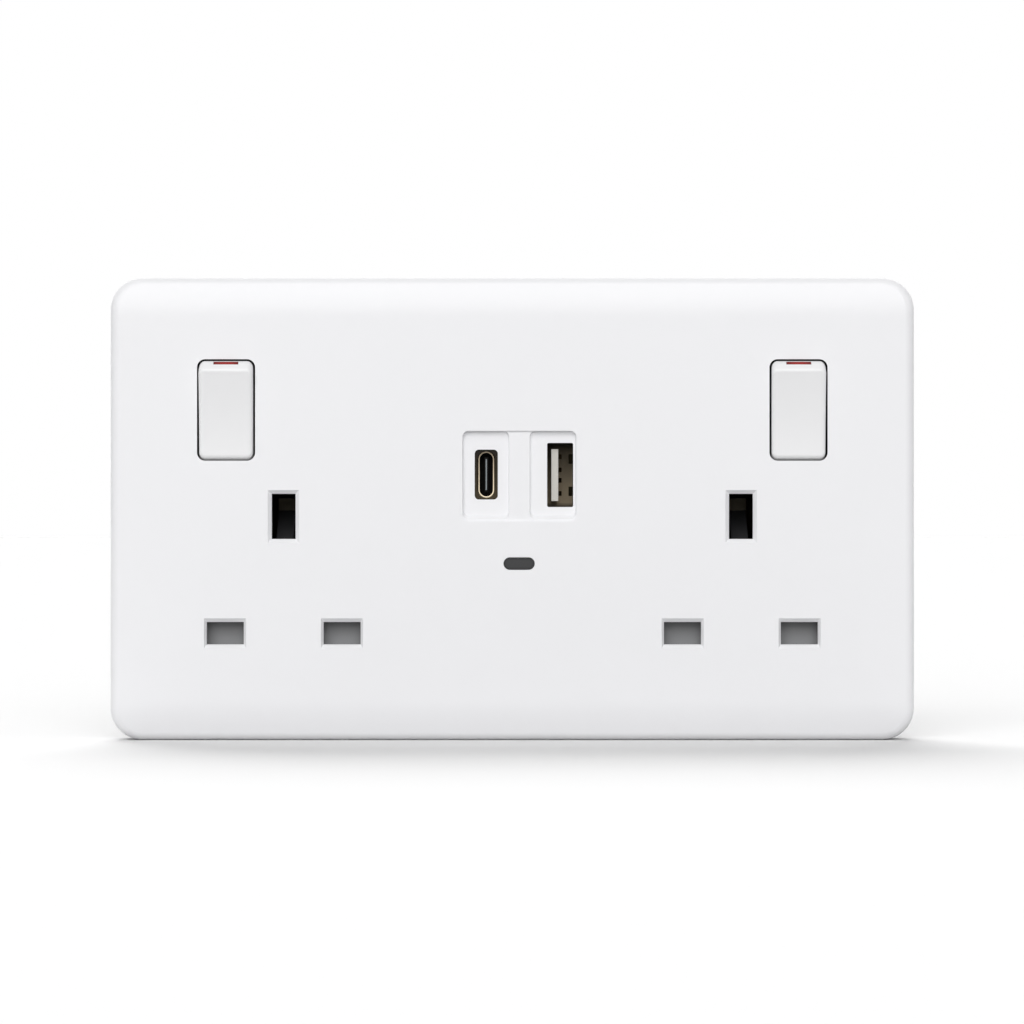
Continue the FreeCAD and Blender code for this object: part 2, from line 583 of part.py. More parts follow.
def cover_plate():
    """White moulding: soft roll-off top and bottom, slots, windows, recess and snap hooks."""
    piece = Piece("cover_plate")
    outer = soft_rect("0", "0", "plate_width", "plate_height", "corner_radius")
    piece.add("block", "front", FACE, "-skirt_gap", outer)
    roll = "(roll_width*roll_width + roll_drop*roll_drop)/(2*roll_drop)"
    corners = []
    for sign, turn in (("1", -1), ("-1", 1)):
        start, edge = f"{sign}*(plate_height/2 - roll_width)", f"{sign}*plate_height/2"
        beyond = f"{sign}*(plate_height/2 + past)"
        corners.append([
            (FACE, start, f"{FACE}+{roll}", start, turn), (f"{FACE}+roll_drop", edge),
            (f"{FACE}+roll_drop", beyond), (f"{FACE}-past", beyond), (f"{FACE}-past", start),
        ])
    piece.cut("roll_off", "side", "-plate_width/2-past", "plate_width/2+past", *corners)
    half_wide, half_high = number("(plate_width-corner_radius)/2"), number("plate_height/2")
    lowest = number(f"{FACE}+roll_drop") + CLOSE

    def rims_the_face(edge):
        middle = edge.valueAt((edge.FirstParameter + edge.LastParameter) / 2)
        inside = abs(middle.x) < half_wide and abs(middle.z) < half_high - CLOSE
        return edge.BoundBox.YMax < lowest and not inside

    piece.soften("edge_round", "edge_round", rims_the_face)
    inner = soft_rect("0", "0", "plate_width-2*cover_wall", "plate_height-2*cover_wall",
                      "corner_radius-cover_wall")
    piece.cut("inside", "front", f"{FACE}+cover_wall", "0", inner)
    usb_recess(piece)
    slots(piece)
    rocker_windows(piece)
    snap_hooks(piece)
    return piece


def usb_recess(piece):
    """Shallow recess with two deeper wells, a rib between them and a sloping sill."""
    thick = soft_rect("usb_middle", "usb_level", "recess_width+2*cover_wall", "recess_height+2*cover_wall",
                      "recess_corner+cover_wall")
    piece.add("recess_wall", "front", f"{FACE}+cover_wall-root", f"{FACE}+seat_back", thick)
    whole = soft_rect("usb_middle", "usb_level", "recess_width", "recess_height", "recess_corner")
    piece.cut("recess", "front", FACE, f"{FACE}+rib_drop", whole)
    width = "(recess_width-rib_width)/2"
    middles = [f"usb_middle+{sign}*(recess_width+rib_width)/4" for name, sign in SIDES]
    mouths = [soft_rect(x, "usb_level", width, "recess_height", "recess_corner") for x in middles]
    floors = [soft_rect(x, "usb_level+sill_slope/2", f"{width}-2*well_lean", "recess_height-sill_slope-well_lean",
                        "recess_corner-well_lean") for x in middles]
    piece.flare("wells", "front", FACE, mouths, f"{FACE}+recess_depth", floors)
    port_c = soft_rect("usb_c_across", "usb_c_level", "usb_c_hole_width", "usb_c_hole_height", "usb_c_corner")
    port_a = soft_rect("usb_a_across", "usb_a_level", "usb_a_hole_width", "usb_a_hole_height", "usb_a_corner")
    piece.cut("ports", "front", FACE, f"{FACE}+seat_back+past", port_c, port_a)
    nest_c = rect("usb_c_across", "usb_c_level", "usb_c_hole_width+2*nest_step", "usb_c_hole_height+2*nest_step")
    nest_a = rect("usb_a_across", "usb_a_level", "usb_a_width+4*snug", "usb_a_height+4*snug")
    piece.cut("port_nests", "front", PORT_MOUTH, f"{FACE}+seat_back+past", nest_c, nest_a)


def slots(piece):
    """The earth slot and the two line slots of each outlet with bevelled mouths, and the lens hole."""
    mouths, holes = [], []
    for name, sign in SIDES:
        x = outlet(sign)
        holes.append(rect(x, "earth_level", "earth_slot_width", "earth_slot_height"))
        mouths.append(rect(x, "earth_level", "earth_slot_width+2*slot_lead_end",
                           "earth_slot_height+2*slot_lead_end"))
        for way in ("-", "+"):
            across = f"{x}{way}pin_pitch/2"
            holes.append(rect(across, "line_level", "line_slot_width", "line_slot_height"))
            mouths.append(rect(across, "line_level", "line_slot_width+2*slot_lead_side",
                               "line_slot_height+2*slot_lead_end"))
    piece.flare("slot_bevels", "front", FACE, mouths, f"{FACE}+slot_lead_depth", holes)
    lens = stadium("lamp_across", "lamp_level", "lamp_width", "lamp_height")
    piece.cut("slots", "front", FACE, "0", lens, *holes)


def rocker_windows(piece):
    """Windows whose ends curve with the swing of the rockers, and posts that keep the trunnions in."""
    z, front, inner = "rocker_level", f"{FACE}+window_lip", f"{FACE}+cover_wall+window_lip"
    wide, high = "rocker_width+2*rocker_gap", "rocker_length+2*rocker_gap"
    windows = [soft_rect(f"{sign}*rocker_offset", z, wide, high, "rocker_corner+rocker_gap")
               for name, sign in SIDES]
    piece.cut("windows", "front", FACE, "0", *windows)
    reach = {level: f"sqrt({SWING_CLEAR}*{SWING_CLEAR}-(({level})-({PIVOT}))*(({level})-({PIVOT})))"
             for level in (front, inner)}
    swept = [(front, f"{z}-{reach[front]}", PIVOT, z, 1), (inner, f"{z}-{reach[inner]}"),
             (inner, f"{z}+{reach[inner]}", PIVOT, z, 1), (front, f"{z}+{reach[front]}")]
    posts = []
    for name, sign in SIDES:
        x = f"{sign}*rocker_offset"
        piece.cut(f"swing_{name}", "side", f"{x}-({wide})/2", f"{x}+({wide})/2", swept)
        for end, way in SIDES:
            near, far = ordered(way, x, CRADLE_INSIDE, "trunnion_reach+bearing_play")
            posts.append(span(near, far, f"{z}-trunnion_bore/2", f"{z}+trunnion_bore/2"))
    piece.add("keepers", "front", f"{FACE}+cover_wall-root", f"{PIVOT}-trunnion_bore/2-bearing_play", *posts)


def ordered(way, middle, near, far):
    """The two ends of a stretch on one side of a middle, lower one first."""
    ends = (f"{middle}+{way}*({near})", f"{middle}+{way}*({far})")
    return ends if way == "1" else ends[::-1]


def snap_hooks(piece):
    """Wedges inside the skirt, three along the top and three along the bottom."""
    inside = "(plate_height/2-cover_wall)"
    wedges = []
    for name, sign in SIDES:
        base, tip = f"{sign}*({inside}+root)", f"{sign}*({inside}-hook_reach)"
        wedges.append([(f"{HOOK_BACK}", base), ("-hook_depth-hook_nose", tip), ("-hook_depth", tip),
                       ("-hook_depth+hook_lead", base)])
    piece.add("hooks", "side", "-hook_spread-hook_width/2", "-hook_spread+hook_width/2", *wedges)
    piece.repeat("hook_row", "YZ_Plane", "2*hook_spread", 3)


PORT_MOUTH = f"({FACE}+recess_depth+port_lip)"
HOOK_BACK = "(-hook_depth-hook_nose-hook_catch)"
PIVOT = "(-plate_depth+pivot_depth)"
SWING = "sqrt(rocker_length*rocker_length/4+pivot_depth*pivot_depth)"
SWING_CLEAR = f"({SWING}+rocker_gap)"
CARRIER_FRONT = "(-plate_depth+cover_wall+clip_gap)"
CARRIER_BACK = "(-plate_depth+cover_wall+clip_gap+carrier_plate)"
CRADLE_INSIDE = "(rocker_width/2+rocker_gap+cradle_play)"
CRADLE_OUTSIDE = f"({CRADLE_INSIDE}+cradle_wall)"
GUIDE_INSIDE = "(shutter_reach+guide_gap)"
SHUTTER_FRONT = f"({CARRIER_BACK}+shutter_play)"
SHUTTER_BACK = f"({SHUTTER_FRONT}+shutter_thick)"
LIP_FRONT = f"({SHUTTER_BACK}+guide_gap)"
LIP_BACK = f"({LIP_FRONT}+lip_thick)"
HOUSING_HALF = f"(rocker_offset+{CRADLE_OUTSIDE}+housing_play+housing_wall)"
POSTS = [("-post_high_x", "post_high_z"), ("post_high_x", "post_high_z"),
         ("-post_low_x", "post_low_z"), ("post_low_x", "post_low_z")]
BOARD_POSTS = [(f"usb_middle{way}(board_width/2-board_inset)", level) for way in ("-", "+")
               for level in ("board_top-board_inset", "board_bottom+board_inset")]


def carrier():
    """Black frame behind the cover: it takes the wall screws and holds rockers and shutters."""
    piece = Piece("carrier")
    inset = "2*(cover_wall+clip_gap)"
    rim = f"({inset}+2*rim_wall)"
    corner = "corner_radius-cover_wall-clip_gap"
    outer = soft_rect("0", "0", f"plate_width-{inset}", f"plate_height-{inset}", corner)
    inner = soft_rect("0", "0", f"plate_width-{rim}", f"plate_height-{rim}", f"{corner}-rim_wall")
    piece.add("block", "front", CARRIER_FRONT, "0", outer)
    piece.cut("tray", "front", CARRIER_BACK, "0", inner)
    into_plate = f"{CARRIER_BACK}-root"
    ribs = []
    for name, sign in SIDES:
        near, far = ordered(sign, "0", "(fixing_pitch+fixing_boss)/2-2*root", "plate_width/2-cover_wall-clip_gap-root")
        ribs += [span(near, far, f"{level}-rib_thick/2", f"{level}+rib_thick/2") for level in ("-rib_level", "rib_level")]
    piece.add("ribs", "front", into_plate, "-rib_end", *ribs)
    fixings = [(f"{sign}*fixing_pitch/2", "0") for name, sign in SIDES]
    posts = [ring(x, z, "post_size") for x, z in POSTS]
    piece.add("posts", "front", into_plate, "0", *posts, *[ring(x, z, "fixing_boss") for x, z in fixings])
    stands = [ring(x, z, "board_post") for x, z in BOARD_POSTS]
    piece.add("board_posts", "front", into_plate, "board_plane", *stands)
    wells = [ring(x, z, "fixing_well") for x, z in fixings]
    piece.cut("fixing_wells", "front", CARRIER_FRONT, "-fixing_seat", *wells)
    piece.cut("fixing_holes", "front", CARRIER_FRONT, "0", *[ring(x, z, "fixing_hole") for x, z in fixings])
    pilots = [ring(x, z, "assembly_screw+screw_clear") for x, z in POSTS]
    piece.cut("screw_pilots", "front", f"{CARRIER_BACK}+pilot_skin", "0", *pilots)
    pilots = [ring(x, z, "board_screw+screw_clear") for x, z in BOARD_POSTS]
    piece.cut("board_pilots", "front", "0", "board_plane", *pilots)
    shutter_guides(piece)
    rocker_cradles(piece)
    windows = plate_windows()
    piece.cut("windows", "front", CARRIER_FRONT, CARRIER_BACK, *windows)
    rim_middle = "(plate_height/2-cover_wall-clip_gap-rim_wall/2)"
    notches = [rect(x, f"{sign}*{rim_middle}", "hook_width+2*window_play", "rim_wall+2*clip_gap")
               for name, sign in SIDES for x in ("-hook_spread", "0", "hook_spread")]
    piece.cut("hook_notches", "front", f"{HOOK_BACK}-clip_gap", "-hook_depth+hook_lead+clip_gap", *notches)
    return piece


def plate_windows():
    """What is open in the carrier's plate: ports, indicator, rockers and pin slots."""
    around_recess, around_lens = "+2*(cover_wall+window_play)", "+2*(flange_step+window_play)"
    windows = [rect("usb_middle", "usb_level", "recess_width" + around_recess, "recess_height" + around_recess),
               rect("lamp_across", "lamp_level", "lamp_width" + around_lens, "lamp_height" + around_lens)]
    wide = "+2*slot_clear"
    for name, sign in SIDES:
        x = outlet(sign)
        windows.append(rect(f"{sign}*rocker_offset", "rocker_level", f"2*{CRADLE_INSIDE}", f"2*{SWING_CLEAR}"))
        windows.append(rect(x, "earth_level", "earth_slot_width" + wide, "earth_slot_height" + wide))
        windows += [rect(f"{x}{way}pin_pitch/2", "line_level", "line_slot_width" + wide, "line_slot_height" + wide)
                    for way in ("-", "+")]
    return windows


def rocker_cradles(piece):
    """Two walls beside each rocker with open bearings for its trunnions."""
    z = "rocker_level"
    walls = [span(*ordered(way, f"{sign}*rocker_offset", CRADLE_INSIDE, CRADLE_OUTSIDE),
                  f"{z}-cradle_reach", f"{z}+cradle_reach") for name, sign in SIDES for end, way in SIDES]
    piece.add("cradles", "front", f"{CARRIER_BACK}-root", f"{PIVOT}+cradle_reach", *walls)
    half, front = "(trunnion_bore/2+bearing_play)", f"{CARRIER_FRONT}-past"
    bearing = [(front, f"{z}-{half}"), (PIVOT, f"{z}-{half}", PIVOT, z, 1), (PIVOT, f"{z}+{half}"),
               (front, f"{z}+{half}")]
    for name, sign in SIDES:
        x = f"{sign}*rocker_offset"
        piece.cut(f"bearings_{name}", "side", f"{x}-{CRADLE_OUTSIDE}-past", f"{x}+{CRADLE_OUTSIDE}+past", bearing)


def shutter_guides(piece):
    """Rails with lips for the shutter bars, guides and a bridge for their stems, pegs for their springs."""
    front = f"{CARRIER_BACK}-root"
    rails, guides, bridges, pegs = [], [], [], []
    for name, sign in SIDES:
        x = outlet(sign)
        for end, way in SIDES:
            near, far, lip = (f"{x}+{way}*({reach})" for reach in
                              (GUIDE_INSIDE, f"{GUIDE_INSIDE}+guide_wall", f"{GUIDE_INSIDE}-guide_lip"))
            rail = [(near, front), (far, front), (far, LIP_BACK), (lip, LIP_BACK), (lip, LIP_FRONT),
                    (near, LIP_FRONT)]
            rails.append(rail if way == "1" else rail[::-1])
            near, far = ordered(way, x, "stem_width/2+guide_gap", "stem_width/2+guide_gap+guide_wall")
            guides.append(span(near, far, "peg_top", "peg_top+stem_guide"))
        bridges.append(rect(x, "bridge_level", "stem_width+2*guide_gap+guide_wall", "bridge_height"))
        pegs.append(rect(x, "peg_top-peg_height/2", "peg_width", "peg_height"))
    low, high = "line_level-shutter_height/2-cam_rise-guide_gap", "line_level+shutter_height/2+guide_gap"
    piece.add("rails", "top", low, high, *rails)
    piece.add("stem_guides", "front", front, LIP_BACK, *guides)
    piece.add("bridges", "front", LIP_FRONT, LIP_BACK, *bridges)
    piece.add("spring_pegs", "front", front, f"{SHUTTER_BACK}-root", *pegs)


def housing_outline(inset):
    """The back moulding seen from the room: a box with a notch each side for the wall box's lugs."""
    wide, high = f"({HOUSING_HALF}-{inset})", f"(housing_height/2-{inset})"
    step, notch = f"({HOUSING_HALF}-notch_depth-{inset})", f"(notch_height/2+{inset})"
    return [(f"-{wide}", f"-{high}"), (wide, f"-{high}"), (wide, f"-{notch}"), (step, f"-{notch}"), (step, notch),
            (wide, notch), (wide, high), (f"-{wide}", high), (f"-{wide}", notch), (f"-{step}", notch),
            (f"-{step}", f"-{notch}"), (f"-{wide}", f"-{notch}")]


TERMINALS = [("terminal_neutral", "neutral_terminal", "-1"), ("terminal_earth_left", "-earth_terminal", "-1"),
             ("terminal_earth_right", "earth_terminal", "-1"), ("terminal_live", "live_terminal", "1")]
WIRE_DEPTH = "(terminal_front+wire_front+wire_bore/2)"
TERMINAL_BACK = "(terminal_front+terminal_depth)"
SCREW_LEVEL = "(terminal_edge-screw_inset)"
LINE_BACK = "(line_plane+sheet)"
EARTH_BACK = "(earth_plane+sheet)"


def rear_housing():
    """Back moulding: walls, screw posts, contact supports, terminal and wire openings."""
    piece = Piece("rear_housing")
    front, floor = f"{CARRIER_BACK}+housing_seat", "housing_depth-housing_wall"
    piece.add("block", "front", front, "housing_depth", housing_outline("0"))
    half_wide, half_high = number(HOUSING_HALF) - CLOSE, number("housing_height/2") - CLOSE

    def is_corner(edge):
        box = edge.BoundBox
        return runs_along(edge, "y") and abs(box.XMax) > half_wide and abs(box.ZMax) > half_high

    piece.soften("corner_round", "housing_corner", is_corner)
    back = number("housing_depth") - CLOSE
    piece.soften("back_bevel", "housing_bevel", lambda edge: edge.BoundBox.YMin > back, "Chamfer")
    piece.cut("inside", "front", front, floor, housing_outline("housing_wall"))
    into_floor = floor + "+root"
    walls = [span(*ordered(way, "0", "partition_across-housing_wall/2", "partition_across+housing_wall/2"),
                  "partition_low", "partition_high") for end, way in SIDES]
    piece.add("partitions", "front", f"{LINE_BACK}+bar_clear", into_floor, *walls)
    strap = rect("0", "earth_level", "2*(partition_across+housing_wall)", "strap_width+2*strap_clear")
    piece.cut("strap_gap", "front", LINE_BACK, f"{EARTH_BACK}+strap_clear", strap)
    piece.add("posts", "front", "0", into_floor, *[ring(x, z, "housing_post") for x, z in POSTS])
    holes = [ring(x, z, "assembly_screw+through_clear") for x, z in POSTS]
    piece.cut("screw_holes", "front", "0", "housing_depth", *holes)
    wells = [ring(x, z, "assembly_head+2*head_clear") for x, z in POSTS]
    piece.cut("screw_wells", "front", "assembly_seat", "housing_depth", *wells)
    supports(piece, into_floor)
    screws = [ring(x, f"{sign}*{SCREW_LEVEL}", "driver_well") for name, x, sign in TERMINALS]
    piece.cut("terminal_wells", "front", floor, "housing_depth", *screws)
    for name, sign in SIDES:
        wires = [ring(x, WIRE_DEPTH, "wire_entry") for terminal_name, x, edge in TERMINALS if edge == sign]
        near, far = ordered(sign, "0", "housing_height/2-housing_wall", "housing_height/2")
        piece.cut(f"wire_holes_{name}", "top", near, far, *wires)
    return piece


def supports(piece, floor):
    """Blocks on the floor that carry the jaws, the bars and the strap from behind."""
    line_blocks = []
    for name, sign in SIDES:
        x = f"{sign}*rocker_offset"
        line_blocks += [rect(f"{outlet(sign)}{way}pin_pitch/2", "line_level", "jaw_support_width", "line_pin")
                        for way in ("-", "+")]
        line_blocks.append(rect(x, "bar_level", "bar_support_width", "bar_support_height"))
        line_blocks.append(rect(x, "rocker_level-switch_support_drop", "switch_support_width", "switch_support_height"))
    piece.add("line_supports", "front", f"{LINE_BACK}+snug", floor, *line_blocks)
    straps = [rect(outlet(sign), "earth_level", "strap_support_width", "strap_support_height")
              for name, sign in SIDES]
    piece.add("strap_supports", "front", f"{EARTH_BACK}+snug", floor, *straps)


def rocker(name, sign):
    """White rocker, drawn level about its pivot and set tilted: bottom in, which is on."""
    piece = Piece(f"rocker_{name}", (f"{sign}*rocker_offset", PIVOT, "rocker_level"), "rocker_tilt")
    crest = "(pivot_depth+crest_height)"
    crest_z = f"sqrt({SWING}*{SWING}-{crest}*{crest})"
    tail_z = f"sqrt({SWING}*{SWING}-rocker_tail*rocker_tail)"
    dish = f"(({crest_z}*{crest_z}+dish_depth*dish_depth)/(2*dish_depth))"
    profile = [
        (f"-{crest}", crest_z, f"-{crest}+dish_depth-{dish}", "0", -1),
        (f"-{crest}", f"-{crest_z}", "0", "0", 1),
        ("rocker_tail", f"-{tail_z}"),
        ("rocker_tail", tail_z, "0", "0", 1),
    ]
    piece.add("block", "side", "-rocker_width/2", "rocker_width/2", profile)
    edge_x, end_z, face_end = number("rocker_width/2"), number("rocker_length/2"), number(crest_z)
    corner, front = number("rocker_corner"), number(f"-{crest}+dish_depth") + CLOSE

    def ends(edge):
        box = edge.BoundBox
        on_side = box.XLength < CLOSE and abs(abs(box.XMax) - edge_x) < CLOSE
        return on_side and box.ZMin * box.ZMax > 0 and max(abs(box.ZMin), abs(box.ZMax)) > end_z

    piece.soften("corner_round", "rocker_corner", ends)

    def rims_the_face(edge):
        box = edge.BoundBox
        outside = abs(box.Center.x) > edge_x - corner or abs(box.Center.z) > face_end - corner
        return box.YMax < front + corner and outside

    piece.soften("crest_round", "crest_round", rims_the_face)
    hollow = rect("0", "0", "rocker_width-2*rocker_wall", "rocker_length-2*end_wall")
    piece.cut("hollow", "front", f"-{crest}+dish_depth+rocker_wall", "rocker_tail", hollow)
    boss = ring("0", "0", "plunger_bore+2*boss_wall")
    piece.add("boss", "front", f"-{crest}+dish_depth+rocker_wall-root", "boss_reach", boss)
    piece.cut("bore", "front", "-bore_bottom", "boss_reach", ring("0", "0", "plunger_bore"))
    for end, way in SIDES:
        near, far = ordered(way, "0", "rocker_width/2-root", "trunnion_reach")
        piece.add(f"trunnion_{end}", "side", near, far, ring("0", "0", "trunnion_bore"))
    slot = flag_profile("2*snug", "+past")
    piece.cut("flag_slot", "side", "-flag_width/2-snug", "flag_width/2+snug", slot)
    return piece


def flag_profile(gap, proud):
    """Sector of the rocker's end, widened by a gap on its hidden sides."""
    outer, inner = f"({SWING}{proud})", f"({SWING}-flag_thick-{gap})"
    half = f"(flag_span/2+{gap}/{SWING}*180/pi)"
    low, high = f"(flag_angle-{half})", f"(flag_angle+{half})"
    spot = lambda radius, angle: (f"-{radius}*sin({angle})", f"{radius}*cos({angle})")
    arc = ("0", "0", 1)
    return [spot(outer, low) + arc, spot(outer, high), spot(inner, high) + ("0", "0", -1), spot(inner, low)]


def rocker_flag(name, sign):
    """Red insert in the top end of a rocker, in view while the switch is on."""
    piece = Piece(f"rocker_flag_{name}", (f"{sign}*rocker_offset", PIVOT, "rocker_level"), "rocker_tilt")
    return piece.add("insert", "side", "-flag_width/2", "flag_width/2", flag_profile("0", "-flag_sink"))


def plunger(name, sign):
    piece = Piece(f"plunger_{name}", (f"{sign}*rocker_offset", PIVOT, "rocker_level"), "rocker_tilt")
    radius = "(plunger_bore-plunger_slack)/2"
    shoulder = f"plunger_reach-{radius}"
    outline = [("0", "plunger_heel"), (radius, "plunger_heel"), (radius, shoulder, "0", shoulder, 1),
               ("0", "plunger_reach")]
    return piece.turn("pin", "top", outline)


def coil(name, place, tilt, mean, pitch, height):
    """A spring that stands on its own origin and grows up, its wire a square of the round wire's area."""
    helix = doc.addObject("Part::Helix", name + "_helix")
    for field, text in (("Radius", f"{mean}/2"), ("Pitch", pitch), ("Height", height)):
        tie(helix, field, text)
    wire = doc.addObject("Part::RegularPolygon", name + "_wire")
    wire.Polygon = 4
    tie(wire, "Circumradius", "spring_wire*sqrt(pi/8)")
    upright = FreeCAD.Rotation(FreeCAD.Vector(1, 0, 0), 90)
    wire.Placement = FreeCAD.Placement(FreeCAD.Vector(number(mean) / 2, 0, 0), upright)
    tie(wire, ".Placement.Base.x", f"{mean}/2")
    doc.recompute()
    sweep = doc.addObject("Part::Sweep", name)
    sweep.Label = name
    sweep.Sections = [wire]
    sweep.Spine = (helix, ["Edge1"])
    sweep.Solid = True
    sweep.Frenet = True
    turn = FreeCAD.Rotation(FreeCAD.Vector(1, 0, 0), number(tilt))
    sweep.Placement = FreeCAD.Placement(FreeCAD.Vector(*map(number, place)), turn)
    for axis, text in zip("xyz", place):
        tie(sweep, f".Placement.Base.{axis}", text)
    doc.recompute()
    return sweep


def plunger_spring(name, sign):
    """Spring between the closed end of the bore and the plunger, tilted with the rocker."""
    seat = "(-bore_bottom+spring_wire/2+snug)"
    place = (f"{sign}*rocker_offset", f"{PIVOT}+{seat}*cos(rocker_tilt)", f"rocker_level+{seat}*sin(rocker_tilt)")
    return coil(f"plunger_spring_{name}", place, "rocker_tilt-90", "plunger_coil", "plunger_pitch",
                "bore_bottom+plunger_heel-spring_wire-2*snug")


def moving_contact(name, sign):
    """See-saw of brass sheet, drawn upright about its fulcrum and set tilted, top end back."""
    place = (f"{sign}*rocker_offset", "fulcrum_depth", "rocker_level")
    piece = Piece(f"moving_contact_{name}", place, "-contact_tilt")
    neck, wide, end, step = "contact_neck/2", "contact_width/2", "contact_length/2", "neck_reach"
    outline = [(f"-{wide}", f"-{end}"), (wide, f"-{end}"), (wide, f"-{step}"), (neck, f"-{step}"), (neck, step),
               (wide, step), (wide, end), (f"-{wide}", end), (f"-{wide}", step), (f"-{neck}", step),
               (f"-{neck}", f"-{step}"), (f"-{wide}", f"-{step}")]
    piece.add("blade", "front", "-sheet", "0", outline)
    piece.add("rivet", "front", "-sheet/2", "rivet_thick", ring("0", "rivet_level", "rivet_size"))
    piece.soften("blade_corners", "blade_corner", lambda edge: runs_along(edge, "y")
                 and abs(abs(edge.BoundBox.ZMax) - number(end)) < CLOSE)
    return piece


def jaw(piece, name, x, z, across):
    """A pair of leaves that grip a pin: above and below a line pin, either side of an earth pin."""
    if across == "line":
        back, length, width, plane = "line_plane", "jaw_mouth", "jaw_width", "side"
        throat, middle, start = "(line_pin/2-pin_squeeze)", z, f"{x}-{width}/2"
    else:
        back, length, width, plane = "earth_plane", "earth_jaw_length", "earth_jaw_width", "top"
        throat, middle, start = "(earth_pin/2-pin_squeeze)", x, f"{z}-{width}/2"
    mouth, pinch, base = f"{back}-{length}", f"{back}-{length}+jaw_lead", f"{back}+sheet/2"
    flared, relieved = f"{throat}+jaw_flare", f"{throat}+jaw_relief"
    for end, way in SIDES:
        leaf = [(mouth, flared), (pinch, throat), (base, relieved), (base, f"{relieved}+sheet"),
                (pinch, f"{throat}+sheet"), (mouth, f"{flared}+sheet")]
        leaf = [(y, f"{middle}+{way}*({reach})") for y, reach in leaf]
        leaf = leaf if plane == "side" else [(reach, y) for y, reach in leaf]
        piece.add(f"{name}_{end}", plane, start, f"{start}+{width}", leaf)


JAW_BASE = "(line_pin+2*(jaw_relief+sheet))"
EARTH_BASE = "(earth_pin+2*(jaw_relief+sheet))"


def switched_live(name, sign):
    """Live jaw, the strip to its switch and the cradle that the moving contact rocks on."""
    piece = Piece(f"switched_live_{name}")
    x = f"({outlet(sign)}+pin_pitch/2)"
    post = f"{sign}*rocker_offset"
    jaw(piece, "leaf", x, "line_level", "line")
    lane = f"({outlet(sign)}+{'pin_pitch/2-link_width/2' if name == 'left' else 'link_width/2+lane_clear'})"
    lane_left, lane_right = f"{lane}-link_width/2", f"{lane}+link_width/2"
    base_low, base_high, base_right = f"line_level-{JAW_BASE}/2", f"line_level+{JAW_BASE}/2", f"{x}+jaw_width/2"
    turn_low, turn_high = "rocker_level-turn_drop", "rocker_level-turn_drop+link_width"
    base = [(lane_left, base_low), (base_right, base_low), (base_right, base_high), (lane_right, base_high),
            (lane_right, turn_high), (lane_left, turn_high)]
    piece.add("base", "front", "line_plane", LINE_BACK, base)
    run = (f"{post}-contact_neck/2", lane_right) if name == "left" else (lane_left, f"{post}+contact_neck/2")
    piece.add("run", "front", "line_plane", LINE_BACK, span(*run, turn_low, turn_high))
    reach = "(contact_neck/2+guide_gap+ear_thick)"
    cradle = span(f"{post}-{reach}", f"{post}+{reach}", f"{turn_low}+root", "rocker_level+ear_reach")
    piece.add("cradle_plate", "front", "line_plane", LINE_BACK, cradle)
    knife = [("line_plane+sheet/2", "rocker_level-knife_reach"), ("line_plane+sheet/2", "rocker_level+knife_reach"),
             ("fulcrum_depth+snug", "rocker_level")]
    piece.add("knife", "side", f"{post}-contact_neck/2", f"{post}+contact_neck/2", knife)
    for end, way in SIDES:
        near, far = ordered(way, post, "contact_neck/2+guide_gap", "contact_neck/2+guide_gap+ear_thick")
        ear = span(near, far, "rocker_level-ear_reach", "rocker_level+ear_reach")
        piece.add(f"ear_{end}", "front", "fulcrum_depth-ear_front", "line_plane+sheet/2", ear)
    return piece


def live_busbar():
    """Supply bar along the top with a silver-faced contact behind each switch."""
    piece = Piece("live_busbar")
    reach = "rocker_offset+contact_neck/2"
    low, high = "bar_level-bar_width/2", "bar_level+bar_width/2"
    piece.add("bar", "front", "line_plane", LINE_BACK, span(f"-({reach})", reach, low, high))
    moving_back = "(fulcrum_depth+(rivet_level+rivet_size/2)*sin(contact_tilt)+rivet_thick+2*snug)"
    for name, sign in SIDES:
        post = f"{sign}*rocker_offset"
        arm = span(f"{post}-arm_width/2", f"{post}+arm_width/2", "rocker_level+rivet_level-arm_width/2", f"{low}+root")
        piece.add(f"arm_{name}", "front", "line_plane", LINE_BACK, arm)
        piece.add(f"rivet_{name}", "front", moving_back, "line_plane+sheet/2",
                  ring(post, "rocker_level+rivet_level*cos(contact_tilt)", "fixed_rivet"))
    tab = span("live_terminal-tab_width/2", "live_terminal+tab_width/2", low, high)
    piece.add("tab", "front", f"{LINE_BACK}-sheet/2", "terminal_front", tab)
    return piece


def neutral_busbar():
    """Bar along the bottom that joins the two neutral jaws."""
    piece = Piece("neutral_busbar")
    left, right = f"({outlet('-1')}-pin_pitch/2)", f"({outlet('1')}-pin_pitch/2)"
    low, high = "-bar_level-bar_width/2", "-bar_level+bar_width/2"
    bar = span(f"{left}-jaw_width/2", f"{right}+jaw_width/2", low, high)
    piece.add("bar", "front", "line_plane", LINE_BACK, bar)
    for name, x in (("left", left), ("right", right)):
        riser = span(f"{x}-jaw_width/2", f"{x}+jaw_width/2", f"{high}-root", f"line_level+{JAW_BASE}/2")
        piece.add(f"riser_{name}", "front", "line_plane", LINE_BACK, riser)
        jaw(piece, f"leaf_{name}", x, "line_level", "line")
    tab = span("neutral_terminal-tab_width/2", "neutral_terminal+tab_width/2", low, high)
    piece.add("tab", "front", f"{LINE_BACK}-sheet/2", "terminal_front", tab)
    return piece


